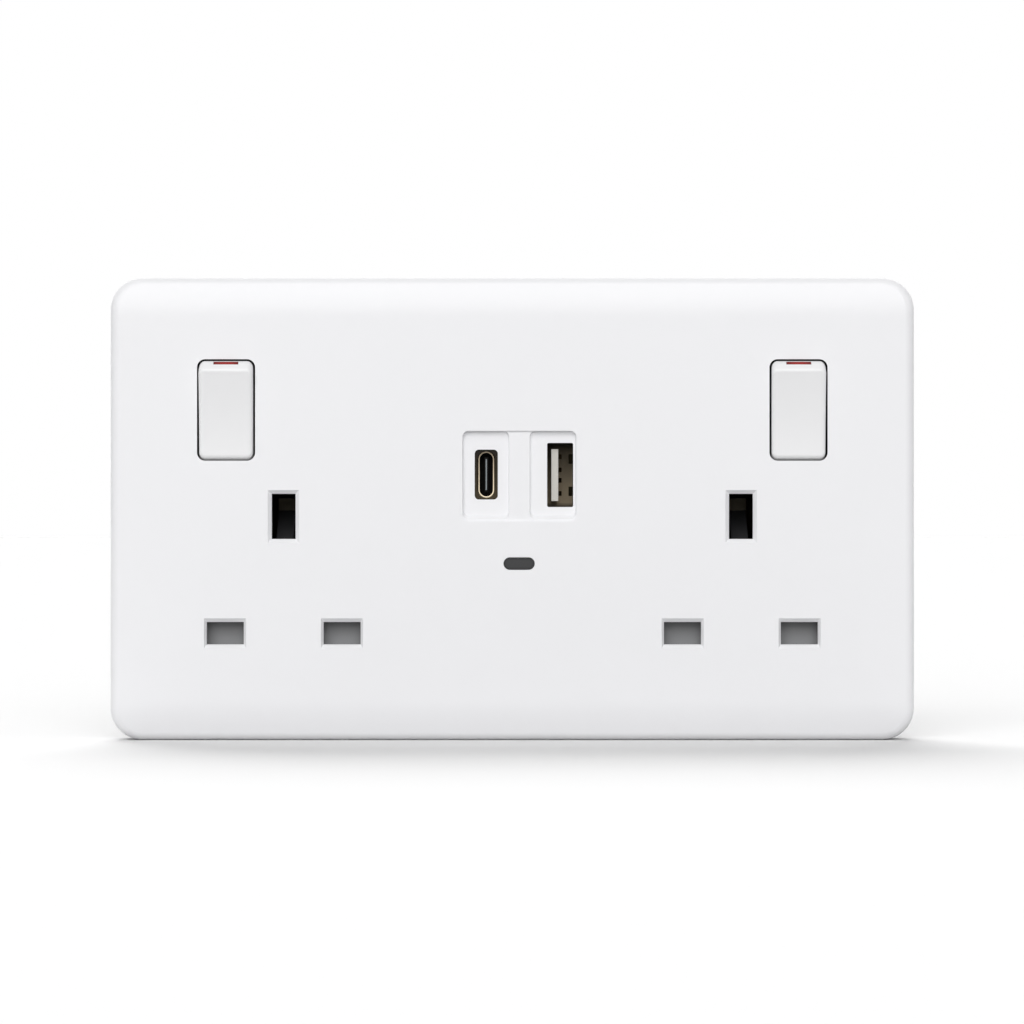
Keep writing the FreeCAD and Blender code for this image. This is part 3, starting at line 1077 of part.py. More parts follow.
def earth_strap():
    """Strap behind the USB module that joins both earth jaws and both earth terminals."""
    piece = Piece("earth_strap")
    strap = rect("0", "earth_level", f"2*socket_offset+{EARTH_BASE}", "strap_width")
    piece.add("strap", "front", "earth_plane", EARTH_BACK, strap)
    for name, sign in SIDES:
        pad = rect(outlet(sign), "earth_level", EARTH_BASE, "earth_jaw_width")
        piece.add(f"pad_{name}", "front", "earth_plane", EARTH_BACK, pad)
        jaw(piece, f"leaf_{name}", outlet(sign), "earth_level", "earth")
        x = f"{sign}*earth_terminal"
        leg = span(f"{x}-leg_width/2", f"{x}+leg_width/2", "-terminal_edge+terminal_length", "earth_level")
        piece.add(f"leg_{name}", "front", "earth_plane", EARTH_BACK, leg)
    return piece


def terminal(name, x, sign):
    """Brass tunnel block, open towards the edge of the housing that its wire comes in by."""
    piece = Piece(name)
    near, far = ordered(sign, "0", "terminal_edge-terminal_length", "terminal_edge")
    block = span(f"{x}-terminal_width/2", f"{x}+terminal_width/2", "terminal_front", TERMINAL_BACK)
    piece.add("block", "top", near, far, block)
    piece.soften("long_edges", "terminal_round", lambda edge: runs_along(edge, "z"))
    start, stop = ordered(sign, "0", "terminal_edge-terminal_length+wire_stop", "terminal_edge")
    piece.cut("wire_bore", "top", start, stop, ring(x, WIRE_DEPTH, "wire_bore"))
    thread = ring(x, f"{sign}*{SCREW_LEVEL}", "terminal_thread")
    piece.cut("screw_hole", "front", WIRE_DEPTH, TERMINAL_BACK, thread)
    return piece


def shutter(name, sign):
    """Grey shutter: a bar over both line slots and a stem with a slot for its spring."""
    piece = Piece(f"shutter_{name}", (outlet(sign), "0", "0"))
    bar = rect("0", "line_level", "2*shutter_reach", "shutter_height")
    piece.add("bar", "front", SHUTTER_FRONT, SHUTTER_BACK, bar)
    stem = span("-stem_width/2", "stem_width/2", "line_level+shutter_height/2-root", "stem_top")
    piece.add("stem", "front", SHUTTER_FRONT, SHUTTER_BACK, stem)
    slot = span("-stem_slot/2", "stem_slot/2", "slot_low", "slot_high")
    piece.cut("spring_slot", "front", SHUTTER_FRONT, SHUTTER_BACK, slot)
    half = "(shutter_height/2-shutter_wall)"
    hollows = [span(*ordered(way, "0", "stem_width/2+shutter_wall", "shutter_reach-shutter_wall"),
                    f"line_level-{half}", f"line_level+{half}") for end, way in SIDES]
    piece.cut("hollows", "front", f"{SHUTTER_BACK}-hollow_depth", SHUTTER_BACK, *hollows)
    return piece


def shutter_cam(name, sign):
    """Black wedge on the stem: the earth pin pushes it, and the shutter with it, down."""
    piece = Piece(f"shutter_cam_{name}", (outlet(sign), "0", "0"))
    front, back, edge = f"{SHUTTER_FRONT}+4*snug", f"{SHUTTER_BACK}+snug", "stem_top+cam_edge"
    profile = [(front, "stem_top"), (back, "stem_top"), (back, "stem_top-cam_root"),
               ("cam_reach", "stem_top+cam_heel"), ("cam_reach", f"{edge}+cam_rise"), (front, edge)]
    return piece.add("wedge", "side", "-cam_width/2", "cam_width/2", profile)


def shutter_spring(name, sign):
    depth, seat = f"({SHUTTER_FRONT}+shutter_thick/2)", "(spring_wire/2+snug)"
    return coil(f"shutter_spring_{name}", (outlet(sign), depth, f"peg_top+{seat}"), "0", "shutter_coil",
                "shutter_pitch", f"slot_high-peg_top-2*{seat}")


def usb_module():
    """Circuit board with two upright ports, the indicator and the parts of a small power supply."""
    board = Piece("usb_board")
    level = "(board_top+board_bottom)/2"
    outline = soft_rect("usb_middle", level, "board_width", "board_top-board_bottom", "board_corner")
    board.add("board", "front", "board_plane", BOARD_BACK, outline)
    holes = [ring(x, z, "board_screw+2*screw_clear") for x, z in BOARD_POSTS]
    board.cut("screw_holes", "front", "board_plane", BOARD_BACK, *holes)
    usb_a_port()
    usb_c_port()
    indicator()
    power_parts()


BOARD_BACK = "(board_plane+board_thick)"


def indicator():
    """Smoked lens, held by its flange behind the cover, and the lamp on the board behind it."""
    lens = Piece("indicator_lens")
    x, z, inner = "lamp_across", "lamp_level", f"({FACE}+cover_wall)"
    lens.add("face", "front", f"{FACE}+snug/2", f"{inner}+2*snug", stadium(x, z, "lamp_width-2*snug", "lamp_height-2*snug"))
    lens.add("flange", "front", f"{inner}+snug", f"{inner}+flange_thick",
             stadium(x, z, "lamp_width+2*flange_step", "lamp_height+2*flange_step"))
    lens.add("stalk", "front", f"{inner}+flange_thick-snug", "board_plane-led_rise-2*snug",
             stadium(x, z, "lamp_width-2*stalk_step", "lamp_height-2*stalk_step"))
    lamp = Piece("indicator_lamp")
    lamp.add("chip", "front", "board_plane-led_rise", "board_plane", rect(x, z, "led_width", "led_height"))


def usb_a_port():
    """Folded steel shell with two spring fingers, a pale tongue and four contacts with bent noses."""
    x, z, mouth = "usb_a_across", "usb_a_level", f"({PORT_MOUTH}+snug)"
    inside = ("usb_a_width-2*shell_wall", "usb_a_height-2*shell_wall")
    shell = Piece("usb_a_shell")
    shell.add("tube", "front", mouth, "board_plane", soft_rect(x, z, "usb_a_width", "usb_a_height", "shell_corner"))
    shell.cut("bore", "front", mouth, "board_plane", soft_rect(x, z, *inside, "shell_corner-shell_wall"))
    side = f"({x}+usb_a_width/2)"
    root, bend, tip = (f"{mouth}+{reach}" for reach in ("finger_root", "finger_bend", "finger_tip"))
    windows = [span(f"{tip}-2*snug", root, f"{z}{way}finger_level-finger_slot/2", f"{z}{way}finger_level+finger_slot/2")
               for way in ("-", "+")]
    shell.cut("spring_windows", "side", f"{side}-shell_wall-snug", f"{side}+snug", *windows)
    finger = [(f"{side}-shell_wall", f"{root}+shell_wall"), (side, f"{root}+shell_wall"),
              (f"{side}-finger_reach+finger_sheet", bend), (f"{side}-shell_wall/2", f"{tip}+snug"),
              (f"{side}-shell_wall/2-finger_sheet", tip), (f"{side}-finger_reach", bend)]
    for end, way in SIDES:
        middle = f"{z}+{way}*finger_level"
        shell.add(f"finger_{end}", "top", f"{middle}-finger_width/2", f"{middle}+finger_width/2", finger)
    tongue = Piece("usb_a_tongue")
    blade = rect(f"{x}+tongue_across", z, "tongue_thick", "tongue_height")
    tongue.add("tongue", "front", f"{mouth}+tongue_sink", "board_plane-base_front+root", blade)
    plug = soft_rect(x, z, *(f"{size}-2*snug" for size in inside), "shell_corner-shell_wall")
    tongue.add("base", "front", "board_plane-base_front", "board_plane-base_back", plug)
    face, tip = f"({x}+tongue_across+tongue_thick/2)", f"({mouth}+nose_sink)"
    peak, foot = f"{tip}+nose_length/2", f"{tip}+nose_length"
    bent = [(face, tip), (f"{face}+nose_rise", peak), (f"{face}+contact_strip", foot),
            (f"{face}+contact_strip", "board_plane-base_front"), (face, "board_plane-base_front"), (face, foot),
            (f"{face}+nose_rise-contact_strip", peak)]
    contacts = Piece("usb_a_contacts")
    for count, place in enumerate(("-contact_far", "-contact_near", "contact_near", "contact_far")):
        low, high = f"{z}+{place}-contact_broad/2", f"{z}+{place}+contact_broad/2"
        contacts.add(f"contact_{count}", "top", low, high, bent)


def usb_c_port():
    """Round-ended shell behind a dark bevelled collar, and a tongue with a steel plate inside it."""
    x, z, front = "usb_c_across", "usb_c_level", f"({FACE}+recess_depth+collar_sink)"
    wide, high, edge = "usb_c_inside+2*usb_c_wall", "usb_c_length+2*usb_c_wall", f"({front}+usb_c_sink)"
    collar = Piece("usb_c_collar")
    outer = soft_rect(x, z, "usb_c_hole_width-2*snug", "usb_c_hole_height-2*snug", "usb_c_corner-snug")
    collar.add("collar", "front", front, "-collar_back", outer)
    hole = stadium(x, z, f"{wide}+2*snug", f"{high}+2*snug")
    mouth = stadium(x, z, f"{wide}+2*collar_bevel", f"{high}+collar_bevel")
    collar.flare("bevel", "front", front, [mouth], edge, [hole])
    collar.cut("hole", "front", front, "-collar_back", hole)
    shell = Piece("usb_c_shell")
    shell.add("tube", "front", edge, "board_plane", stadium(x, z, wide, high))
    shell.cut("bore", "front", edge, "board_plane", stadium(x, z, "usb_c_inside", "usb_c_length"))
    tongue = Piece("usb_c_tongue")
    tip = f"{edge}+usb_c_tongue_sink"
    tongue.add("tongue", "front", tip, "-usb_c_base+root", rect(x, z, "usb_c_tongue_thick", "usb_c_tongue_width"))
    plug = stadium(x, z, "usb_c_inside-2*snug", "usb_c_length-2*snug")
    tongue.add("base", "front", "-usb_c_base", "board_plane-base_back", plug)
    core = rect(x, z, "plate_thick", "plate_length")
    tongue.cut("plate_slot", "front", tip, "-usb_c_base+root", core)
    plate = Piece("usb_c_plate")
    plate.add("plate", "front", f"{tip}-plate_proud", "-usb_c_base+root", core)


def power_parts():
    """What stands on the back of the board."""
    seat = f"({BOARD_BACK}+snug)"
    x, z = "(usb_middle+core_across)", "core_level"
    core = Piece("transformer_core")
    core.add("block", "front", seat, f"{seat}+core_depth", rect(x, z, "core_width", "core_height"))
    windows = [rect(f"{x}{way}(core_leg+window_across)/2", f"{seat}+core_depth/2", "window_across", "window_depth")
               for way in ("-", "+")]
    core.cut("windows", "top", f"{z}-core_height/2-past", f"{z}+core_height/2+past", *windows)
    winding = Piece("transformer_winding")
    near, far = (f"{seat}+(core_depth{way}coil_depth)/2" for way in ("-", "+"))
    winding.add("coil", "front", near, far, soft_rect(x, z, "coil_width", "coil_height", "coil_corner"))
    winding.cut("leg_hole", "front", near, far, rect(x, z, "core_leg+4*snug", "core_height+4*snug"))
    cans = Piece("capacitors")
    places = [("usb_middle+can_across", "can_high", "large_can", "large_can_rise"),
              ("usb_middle+can_across", "can_low", "small_can", "small_can_rise"),
              ("usb_middle+flat_can_across", "low_level", "small_can", "flat_can_rise")]
    for count, (across, level, size, rise) in enumerate(places):
        cans.add(f"can_{count}", "front", seat, f"{seat}+{rise}", ring(across, level, size))
    drum = Piece("inductor", ("usb_middle", seat, "low_level"))
    outline = [("0", "0"), ("drum_radius", "0"), ("drum_radius", "drum_flange"), ("drum_waist", "drum_flange"),
               ("drum_waist", "drum_rise-drum_flange"), ("drum_radius", "drum_rise-drum_flange"),
               ("drum_radius", "drum_rise"), ("0", "drum_rise")]
    drum.turn("drum", "top", outline)
    chip = Piece("control_chip")
    x = "usb_middle+chip_across"
    chip.add("case", "front", f"{seat}+2*snug", f"{seat}+chip_rise", rect(x, "low_level", "chip_width", "chip_height"))
    for count in range(4):
        level = f"low_level+({count}-1.5)*leg_pitch"
        chip.add(f"legs_{count}", "front", seat, f"{seat}+leg_rise", rect(x, level, "leg_span", "leg_thick"))


def group(name, template, places):
    """Equal pieces that share one node: linked copies of one template."""
    copies = []
    for count, place in enumerate(places):
        link = doc.addObject("App::Link", f"{name}_{count}")
        link.LinkedObject = template
        link.Placement = FreeCAD.Placement(FreeCAD.Vector(*map(number, place)), FreeCAD.Rotation())
        for axis, text in zip("xyz", place):
            tie(link, f".Placement.Base.{axis}", text)
        copies.append(link)
    whole = doc.addObject("Part::Compound", name)
    whole.Label = name
    whole.Links = copies
    doc.recompute()
    return whole


def screw(name, shank, head, reach, rise):
    """A cheese-head screw, head to the back: drawn with the underside of its head at its origin."""
    piece = Piece(name)
    outline = [("0", f"-{reach}"), (f"{shank}/2", f"-{reach}"), (f"{shank}/2", "0"), (f"{head}/2", "0"),
               (f"{head}/2", rise), ("0", rise)]
    piece.turn("turned", "top", outline)
    piece.cut("drive", "front", f"{rise}/2", f"{rise}+past", rect("0", "0", f"{head}+past", "drive_slot"))
    return piece.body


def fasteners():
    clamp = screw("terminal_screw", "terminal_shank", "terminal_head", "terminal_reach", "terminal_rise")
    spots = [(x, f"{TERMINAL_BACK}+2*snug", f"{sign}*{SCREW_LEVEL}") for name, x, sign in TERMINALS]
    group("terminal_screws", clamp, spots)
    tie_screw = screw("assembly_screw", "assembly_screw", "assembly_head", "assembly_reach", "assembly_rise")
    group("assembly_screws", tie_screw, [(x, "assembly_seat+snug", z) for x, z in POSTS])
    small = screw("board_screw", "board_screw", "board_head", "board_reach", "board_rise")
    group("board_screws", small, [(x, f"{BOARD_BACK}+snug", z) for x, z in BOARD_POSTS])


cover_plate()
carrier()
rear_housing()
for side_name, side_sign in SIDES:
    rocker(side_name, side_sign)
    rocker_flag(side_name, side_sign)
    plunger(side_name, side_sign)
    plunger_spring(side_name, side_sign)
    moving_contact(side_name, side_sign)
    switched_live(side_name, side_sign)
    shutter(side_name, side_sign)
    shutter_cam(side_name, side_sign)
    shutter_spring(side_name, side_sign)
live_busbar()
neutral_busbar()
earth_strap()
for terminal_name, terminal_x, terminal_sign in TERMINALS:
    terminal(terminal_name, terminal_x, terminal_sign)
usb_module()
fasteners()
doc.recompute()

TEMPLATES = ("terminal_screw", "assembly_screw", "board_screw")
pieces = [item for item in doc.Objects
          if item.TypeId in ("PartDesign::Body", "Part::Sweep", "Part::Compound") and item.Label not in TEMPLATES]
for item in pieces:
    if item.TypeId == "PartDesign::Body":
        item.Tip.Refine = True
doc.recompute()
for item in doc.Objects:
    if {"Invalid", "Error"} & set(item.State):
        raise RuntimeError(f"{item.Label}: {item.State}")
for item in pieces:
    if item.Shape.isNull() or not item.Shape.isValid():
        raise RuntimeError(f"{item.Label}: bad shape")

os.makedirs("parts", exist_ok=True)
for item in pieces:
    item.Shape.exportStep(f"parts/{item.Label}.step")
    print(f"{item.Label}: {len(item.Shape.Solids)} solid, {item.Shape.Volume:.1f} mm3")
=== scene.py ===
# %% [markdown]
# A white wall socket with two outlets, two rockers and a small charging module between them.
# Every moulding, contact, port and screw comes from the frame at its real size and place.
# This lesson gives each of them its finish, winds the four springs from round wire, and then sets
# up the camera, the floor and the lights.
# Loading comes first, because every later cell asks the frame where a piece is.

# %% Load the frame
import json
import math

import bpy
import numpy as np
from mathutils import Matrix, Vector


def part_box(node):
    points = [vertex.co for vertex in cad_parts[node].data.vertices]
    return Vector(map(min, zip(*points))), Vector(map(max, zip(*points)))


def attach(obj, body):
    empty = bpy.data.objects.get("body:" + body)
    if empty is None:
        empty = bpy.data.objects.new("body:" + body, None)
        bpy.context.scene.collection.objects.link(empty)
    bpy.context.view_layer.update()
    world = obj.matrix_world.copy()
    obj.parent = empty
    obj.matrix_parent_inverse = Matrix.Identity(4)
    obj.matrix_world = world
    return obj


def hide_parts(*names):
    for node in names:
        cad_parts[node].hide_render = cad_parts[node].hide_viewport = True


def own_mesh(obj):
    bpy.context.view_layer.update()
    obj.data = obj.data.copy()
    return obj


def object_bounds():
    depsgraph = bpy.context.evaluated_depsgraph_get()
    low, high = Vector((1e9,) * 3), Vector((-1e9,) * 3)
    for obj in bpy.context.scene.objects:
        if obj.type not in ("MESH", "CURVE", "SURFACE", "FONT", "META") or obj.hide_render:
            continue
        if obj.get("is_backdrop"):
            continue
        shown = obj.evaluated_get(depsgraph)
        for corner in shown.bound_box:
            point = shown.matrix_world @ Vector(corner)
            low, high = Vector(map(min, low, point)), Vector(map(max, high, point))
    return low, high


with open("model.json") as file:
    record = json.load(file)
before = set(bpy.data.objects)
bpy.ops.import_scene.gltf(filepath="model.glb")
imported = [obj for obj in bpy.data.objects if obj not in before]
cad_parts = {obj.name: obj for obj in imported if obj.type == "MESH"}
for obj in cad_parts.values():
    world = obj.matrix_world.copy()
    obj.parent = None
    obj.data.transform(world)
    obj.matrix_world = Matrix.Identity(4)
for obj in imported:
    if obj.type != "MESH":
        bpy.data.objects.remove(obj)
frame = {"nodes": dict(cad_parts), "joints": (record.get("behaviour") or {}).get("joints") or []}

MM = 0.001
PAIRS = ("left", "right")
cad_low, cad_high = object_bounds()
joints = {joint["name"]: joint for joint in frame["joints"]}
print("frame box in mm:", [round((high - low) / MM, 1) for low, high in zip(cad_low, cad_high)])

# %% [markdown]
# A finish on a real product is never one flat number: its colour drifts, its skin has a grain
# and its gloss follows that grain. Such patterns are sums and products of noise, so it helps to
# write them as sums. The first class below wraps one socket, and each operator adds the Math node
# that does the work. Everything else goes through one method that makes any node.

# %% Shader arithmetic
class Value:
    """One socket of a node tree. Arithmetic on it adds Math nodes to the same tree."""

    def __init__(self, nodes, socket):
        self.nodes = nodes
        self.socket = socket

    def maths(self, operation, *terms):
        return self.nodes.node("ShaderNodeMath", {"operation": operation}, dict(enumerate(terms)))

    def __add__(self, other):
        return self.maths("ADD", self, other)

    def __sub__(self, other):
        return self.maths("SUBTRACT", self, other)

    def __mul__(self, other):
        return self.maths("MULTIPLY", self, other)

    def __truediv__(self, other):
        return self.maths("DIVIDE", self, other)

    def __radd__(self, other):
        return self.maths("ADD", other, self)

    def __rsub__(self, other):
        return self.maths("SUBTRACT", other, self)

    def __rmul__(self, other):
        return self.maths("MULTIPLY", other, self)

    def __abs__(self):
        return self.maths("ABSOLUTE", self)

    def above(self, edge):
        return self.maths("GREATER_THAN", self, edge)

    def larger(self, other):
        return self.maths("MAXIMUM", self, other)

    def smaller(self, other):
        return self.maths("MINIMUM", self, other)

    def root(self):
        return self.maths("SQRT", self)

    def fraction(self):
        return self.maths("FRACT", self)

    def limited(self):
        """The value held between 0 and 1."""
        return self.larger(0.0).smaller(1.0)

    def ramp(self, start, end):
        """Zero up to start, one from end on, and even in between."""
        return ((self - start) / (end - start)).limited()


class Nodes:
    """A node tree, with one method that makes any node in it."""

    def __init__(self, tree):
        self.tree = tree

    def node(self, kind, settings, sockets, output=0):
        """Makes any node: its settings first, then a value or a link for each socket."""
        made = self.tree.nodes.new(kind)
        for key, value in settings.items():
            setattr(made, key, value)
        for key, value in sockets.items():
            self.fill(made.inputs[key], value)
        return Value(self, made.outputs[output])

    def fill(self, socket, value):
        """Links a value to a socket, or sets a plain number or colour on it."""
        if isinstance(value, Value):
            self.tree.links.new(value.socket, socket)
        else:
            socket.default_value = value

    def seen(self):
        """One where the camera, a reflection or a clear piece looks, and zero for stray light."""
        looks = [self.node("ShaderNodeLightPath", {}, {}, f"Is {ray} Ray")
                 for ray in ("Camera", "Glossy", "Transmission")]
        return looks[0].larger(looks[1]).larger(looks[2])


class Finish(Nodes):
    """A material with one Principled shader and patterns fixed to the piece itself."""

    def __init__(self, name):
        self.material = bpy.data.materials.new(name)
        self.material.use_nodes = True
        super().__init__(self.material.node_tree)
        self.shader = self.tree.nodes["Principled BSDF"]
        self.place = self.node("ShaderNodeTexCoord", {}, {}, "Object")

    def set(self, **sockets):
        """Sets or links the shader's sockets. Underscores stand for spaces."""
        for key, value in sockets.items():
            self.fill(self.shader.inputs[key.replace("_", " ")], value)

    def paint(self, colour):
        """Makes a colour the base colour, and keeps it so that more can be laid over it."""
        self.colour = colour
        self.set(Base_Color=colour)

    def lay(self, mask, colour):
        """Lays a colour over the base colour where the mask is one."""
        self.paint(self.mix(mask, self.colour, colour))

    def along(self, axis):
        """The piece's own X, Y or Z, in metres."""
        return self.node("ShaderNodeSeparateXYZ", {}, {"Vector": self.place}, axis)

    def stretched(self, x=1.0, y=1.0, z=1.0):
        """The piece's own coordinates, scaled along each axis."""
        return self.node("ShaderNodeMapping", {}, {"Vector": self.place, "Scale": (x, y, z)})

    def noise(self, size, detail=2.0, place=None):
        """Noise from 0 to 1 whose patches are about as large as size, in metres."""
        sockets = {"Vector": place or self.place, "Scale": 1.0 / size, "Detail": detail}
        return self.node("ShaderNodeTexNoise", {"noise_dimensions": "3D"}, sockets)

    def mix(self, amount, first, second):
        """A colour between two colours."""
        sockets = {0: amount, 6: first, 7: second}
        return self.node("ShaderNodeMix", {"data_type": "RGBA"}, sockets, 2)

    def relief(self, height, depth):
        """Bumps as deep as depth, in metres, where height goes from 0 to 1."""
        self.set(Normal=self.node("ShaderNodeBump", {}, {"Distance": depth, "Height": height}))


def tone(red, green, blue):
    """A colour that shows as these three screen values, 0 to 255, in plain light."""
    channels = np.array([red, green, blue]) / 255
    linear = np.where(channels <= 0.04045, channels / 12.92, ((channels + 0.055) / 1.055) ** 2.4)
    return (*linear.tolist(), 1.0)


def darker(colour, share):
    """The same colour with its light cut by a share."""
    return tuple(channel * (1 - share) for channel in colour[:3]) + (1.0,)


print("a mid grey of 128 gives back", round(tone(128, 128, 128)[0], 3), "of the light")

# %% [markdown]
# The front is a hard moulding compound with a soft sheen. Up close it shows a very faint orange
# peel, about half a millimetre across and a few thousandths deep, and its gloss is a little
# uneven. The inner mouldings are the same idea with a finer but deeper grain and less gloss, so
# one function makes them all and each call only states its tone, roughness and grain. The tone
# itself drifts over patches as wide as a thumb.

# %% Moulded plastics
DRIFT_PATCH = 18 * MM
GLOSS_SPREAD = 0.10


def moulding(name, colour, roughness, grain, depth, drift=0.02, gloss=0.5):
    """Moulded plastic: tone drifts over centimetres, grain and gloss vary within millimetres."""
    finish = Finish(name)
    wide = finish.noise(DRIFT_PATCH, 1.0)
    skin = finish.noise(grain, 3.0)
    finish.paint(finish.mix(wide, darker(colour, drift), colour))
    finish.set(Roughness=skin * GLOSS_SPREAD + (roughness - GLOSS_SPREAD / 2))
    finish.set(IOR=1.5, Specular_IOR_Level=gloss)
    finish.relief(skin, depth)
    return finish


white_front = moulding("white moulding", tone(241, 241, 243), 0.34, 0.45 * MM, 0.003 * MM, 0.012)
white_rocker = moulding("rocker moulding", tone(240, 240, 241), 0.34, 0.60 * MM, 0.001 * MM, 0.010)
black_frame = moulding("black moulding", tone(40, 40, 42), 0.55, 0.25 * MM, 0.008 * MM, 0.10)
back_moulding = moulding("housing moulding", tone(70, 71, 74), 0.52, 0.30 * MM, 0.010 * MM, 0.08)
shutter_grey = moulding("shutter moulding", tone(143, 144, 146), 0.42, 0.30 * MM, 0.004 * MM, 0.05)
plunger_grey = moulding("plunger moulding", tone(205, 204, 198), 0.38, 0.30 * MM, 0.003 * MM, 0.05)
flag_red = moulding("red insert", tone(160, 42, 38), 0.36, 0.30 * MM, 0.003 * MM, 0.08, 0.2)
tongue_white = moulding("pale tongue", tone(207, 204, 197), 0.45, 0.20 * MM, 0.003 * MM, 0.06, 0.2)
collar_brown = moulding("dark collar", tone(66, 58, 42), 0.42, 0.20 * MM, 0.004 * MM, 0.25, 0.1)
tongue_black = moulding("dark tongue", tone(14, 12, 10), 0.38, 0.20 * MM, 0.003 * MM, 0.15, 0.05)
lens_smoke = moulding("smoked lens", tone(60, 60, 61), 0.34, 0.60 * MM, 0.001 * MM, 0.06, 0.2)
lamp_clear = moulding("lamp epoxy", tone(226, 228, 236), 0.20, 0.40 * MM, 0.002 * MM, 0.04)
chip_black = moulding("chip case", tone(34, 34, 36), 0.60, 0.12 * MM, 0.006 * MM, 0.10)
print("mouldings:", len(bpy.data.materials))

# %% [markdown]
# The line round each rocker shows nearly black, because no light comes back out of such a narrow
# gap. A renderer lets more through, as its white never absorbs much. So the walls of the two
# windows, and the flanks of the rockers where they stay below the face in both positions, carry
# painted shade: a dark tone laid over the white. A point of a flank stays below if it is so at
# rest and also after the turn.

# %% Painted shade on the walls of the gap round the rockers
WINDOW_WIDTH, WINDOW_HEIGHT, WALL_SKIN = 11.05 * MM, 19.3 * MM, 0.14 * MM
GAP_START = 0.03 * MM
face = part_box("cover_plate")[0].y
pivot_side, pivot_depth, pivot_level = joints["rocker_right"]["pos_m"]
off_turn = math.radians(joints["rocker_right"]["range_deg"][0])
# Painted shade: a near-black tone for the white walls of the gap and the rocker flanks.
painted_gap_shade = tone(8, 8, 9)

across = abs(abs(white_front.along("X")) - pivot_side)
upward = abs(white_front.along("Z") - pivot_level)
near_side = (WINDOW_WIDTH / 2 + WALL_SKIN - across).above(0.0)
near_end = (WINDOW_HEIGHT / 2 + WALL_SKIN - upward).above(0.0)
below_face = (white_front.along("Y") - face).above(GAP_START)
# Painted shade on the window walls below the face.
white_front.lay(near_side * near_end * below_face, painted_gap_shade)

behind = white_rocker.along("Y") - pivot_depth
raised = white_rocker.along("Z") - pivot_level
turned = behind * math.cos(off_turn) - raised * math.sin(off_turn)
# Painted shade on the rocker flanks that stay below the face.
white_rocker.lay(behind.smaller(turned).above(face + GAP_START - pivot_depth), painted_gap_shade)
print("a rocker turns by", round(math.degrees(off_turn), 1), "degrees")

# %% [markdown]
# Five kinds of small pieces are not one tone all over. The red inserts are darker at their ends,
# where their pockets shade them: painted shade. The smoked lens is darker along its rim, and its
# measure is the distance from a short line in its middle. The pale tongue carries painted shade at
# its root, deep in the port: brown, lighter low down and darker higher up, and nearly black at the
# root's two ends. The shutters and the collar carry painted shade at the top. Each is a colour
# laid over the first, by a ramp along a measure.

# %% Painted shade, and tones that change along a piece
def middle_and_half(node):
    """The middle of a node's box and half its size."""
    low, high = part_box(node)
    return (low + high) / 2, (high - low) / 2


middle, half = middle_and_half("rocker_flag_right")
SHADE_START = 0.35
from_middle = abs(abs(flag_red.along("X")) - middle.x)
# Painted shade: the red inserts darker at their ends, where their pockets shade them.
flag_red.lay(from_middle.ramp(SHADE_START * half.x, half.x), tone(112, 30, 28))

middle, half = middle_and_half("indicator_lens")
RIM, LENS_RADIUS = 0.60 * MM, 1.20 * MM
past_line = (abs(lens_smoke.along("X") - middle.x) - (half.x - half.z)).larger(0.0)
aside = lens_smoke.along("Z") - middle.z
from_line = (past_line * past_line + aside * aside).root()
lens_smoke.lay(from_line.ramp(LENS_RADIUS - RIM, LENS_RADIUS), tone(40, 40, 41))

middle, half = middle_and_half("usb_a_tongue")
TONGUE_ROOT, PORT_END, END_SHADE = -1.2 * MM, 6.1 * MM, 0.9 * MM
# Painted shade at the tongue's root, deep in the port: lighter low down, darker higher up.
root_painted_shade_low, root_painted_shade_high = tone(200, 182, 154), tone(96, 86, 66)
rise = tongue_white.along("Z").ramp(middle.z - half.z, middle.z + half.z)
at_root = tongue_white.along("Y").above(TONGUE_ROOT)
tongue_white.lay(at_root, tongue_white.mix(rise, root_painted_shade_low, root_painted_shade_high))
# Painted shade, nearly black, at the two ends of the root.
from_middle = abs(tongue_white.along("Z") - middle.z)
tongue_white.lay(at_root * from_middle.ramp(PORT_END - END_SHADE, PORT_END), tone(40, 35, 27))

SLOT_LOW, SLOT_HIGH = -25.5 * MM, -21.3 * MM
# Painted shade: the shutters darker towards the top of the slot, under its top edge.
shutter_grey.lay(shutter_grey.along("Z").ramp(SLOT_LOW, SLOT_HIGH), tone(118, 118, 119))

middle, half = middle_and_half("usb_c_collar")
# Painted shade: the collar darker towards its top.
rise = collar_brown.along("Z").ramp(middle.z - half.z, middle.z + half.z)
collar_brown.lay(rise, tone(24, 20, 15))
print("lens rim at", round(LENS_RADIUS / MM, 2), "mm")
print("collar", round(2 * half.z / MM, 1), "mm tall")

# %% [markdown]
# Brass strip is rolled, so fine lines run along it, and it tarnishes in patches. Steel shells are
# tinned and a little warmer than bare steel. Both are one metal finish: streaks are noise that is
# stretched along the rolling direction, and the tarnish is a wide noise that also dulls the gloss.
# The earth strap, the USB-A contacts and the USB-A shell are toned far darker than their metals:
# painted shade, as they lie deep in the slots and the port. The gilt shell has one more tone,
# painted shade at its top, as on the collar round it.

# %% Metals
LINE_WIDTH, TARNISH_PATCH = 0.5 * MM, 4 * MM
LINE_GLOSS, TARNISH_GLOSS = 0.18, 0.10
PATCH_STEEPNESS, PATCH_OFFSET = 1.6, 0.5
TOP_START = 0.9


def metal(name, colour, roughness, streak=(1.0, 1.0, 0.12), tarnish=0.25, depth=0.002 * MM):
    """Rolled or drawn metal: streaks along one axis, and patches that are darker and duller."""
    finish = Finish(name)
    lines = finish.noise(LINE_WIDTH, 4.0, finish.stretched(*streak))
    patches = finish.noise(TARNISH_PATCH, 3.0)
    dull = (patches * PATCH_STEEPNESS - PATCH_OFFSET).limited()
    finish.paint(finish.mix(dull, colour, darker(colour, tarnish)))
    base = roughness - TARNISH_GLOSS
    finish.set(Metallic=1.0, Roughness=lines * LINE_GLOSS + dull * TARNISH_GLOSS + base)
    finish.relief(lines, depth)
    return finish


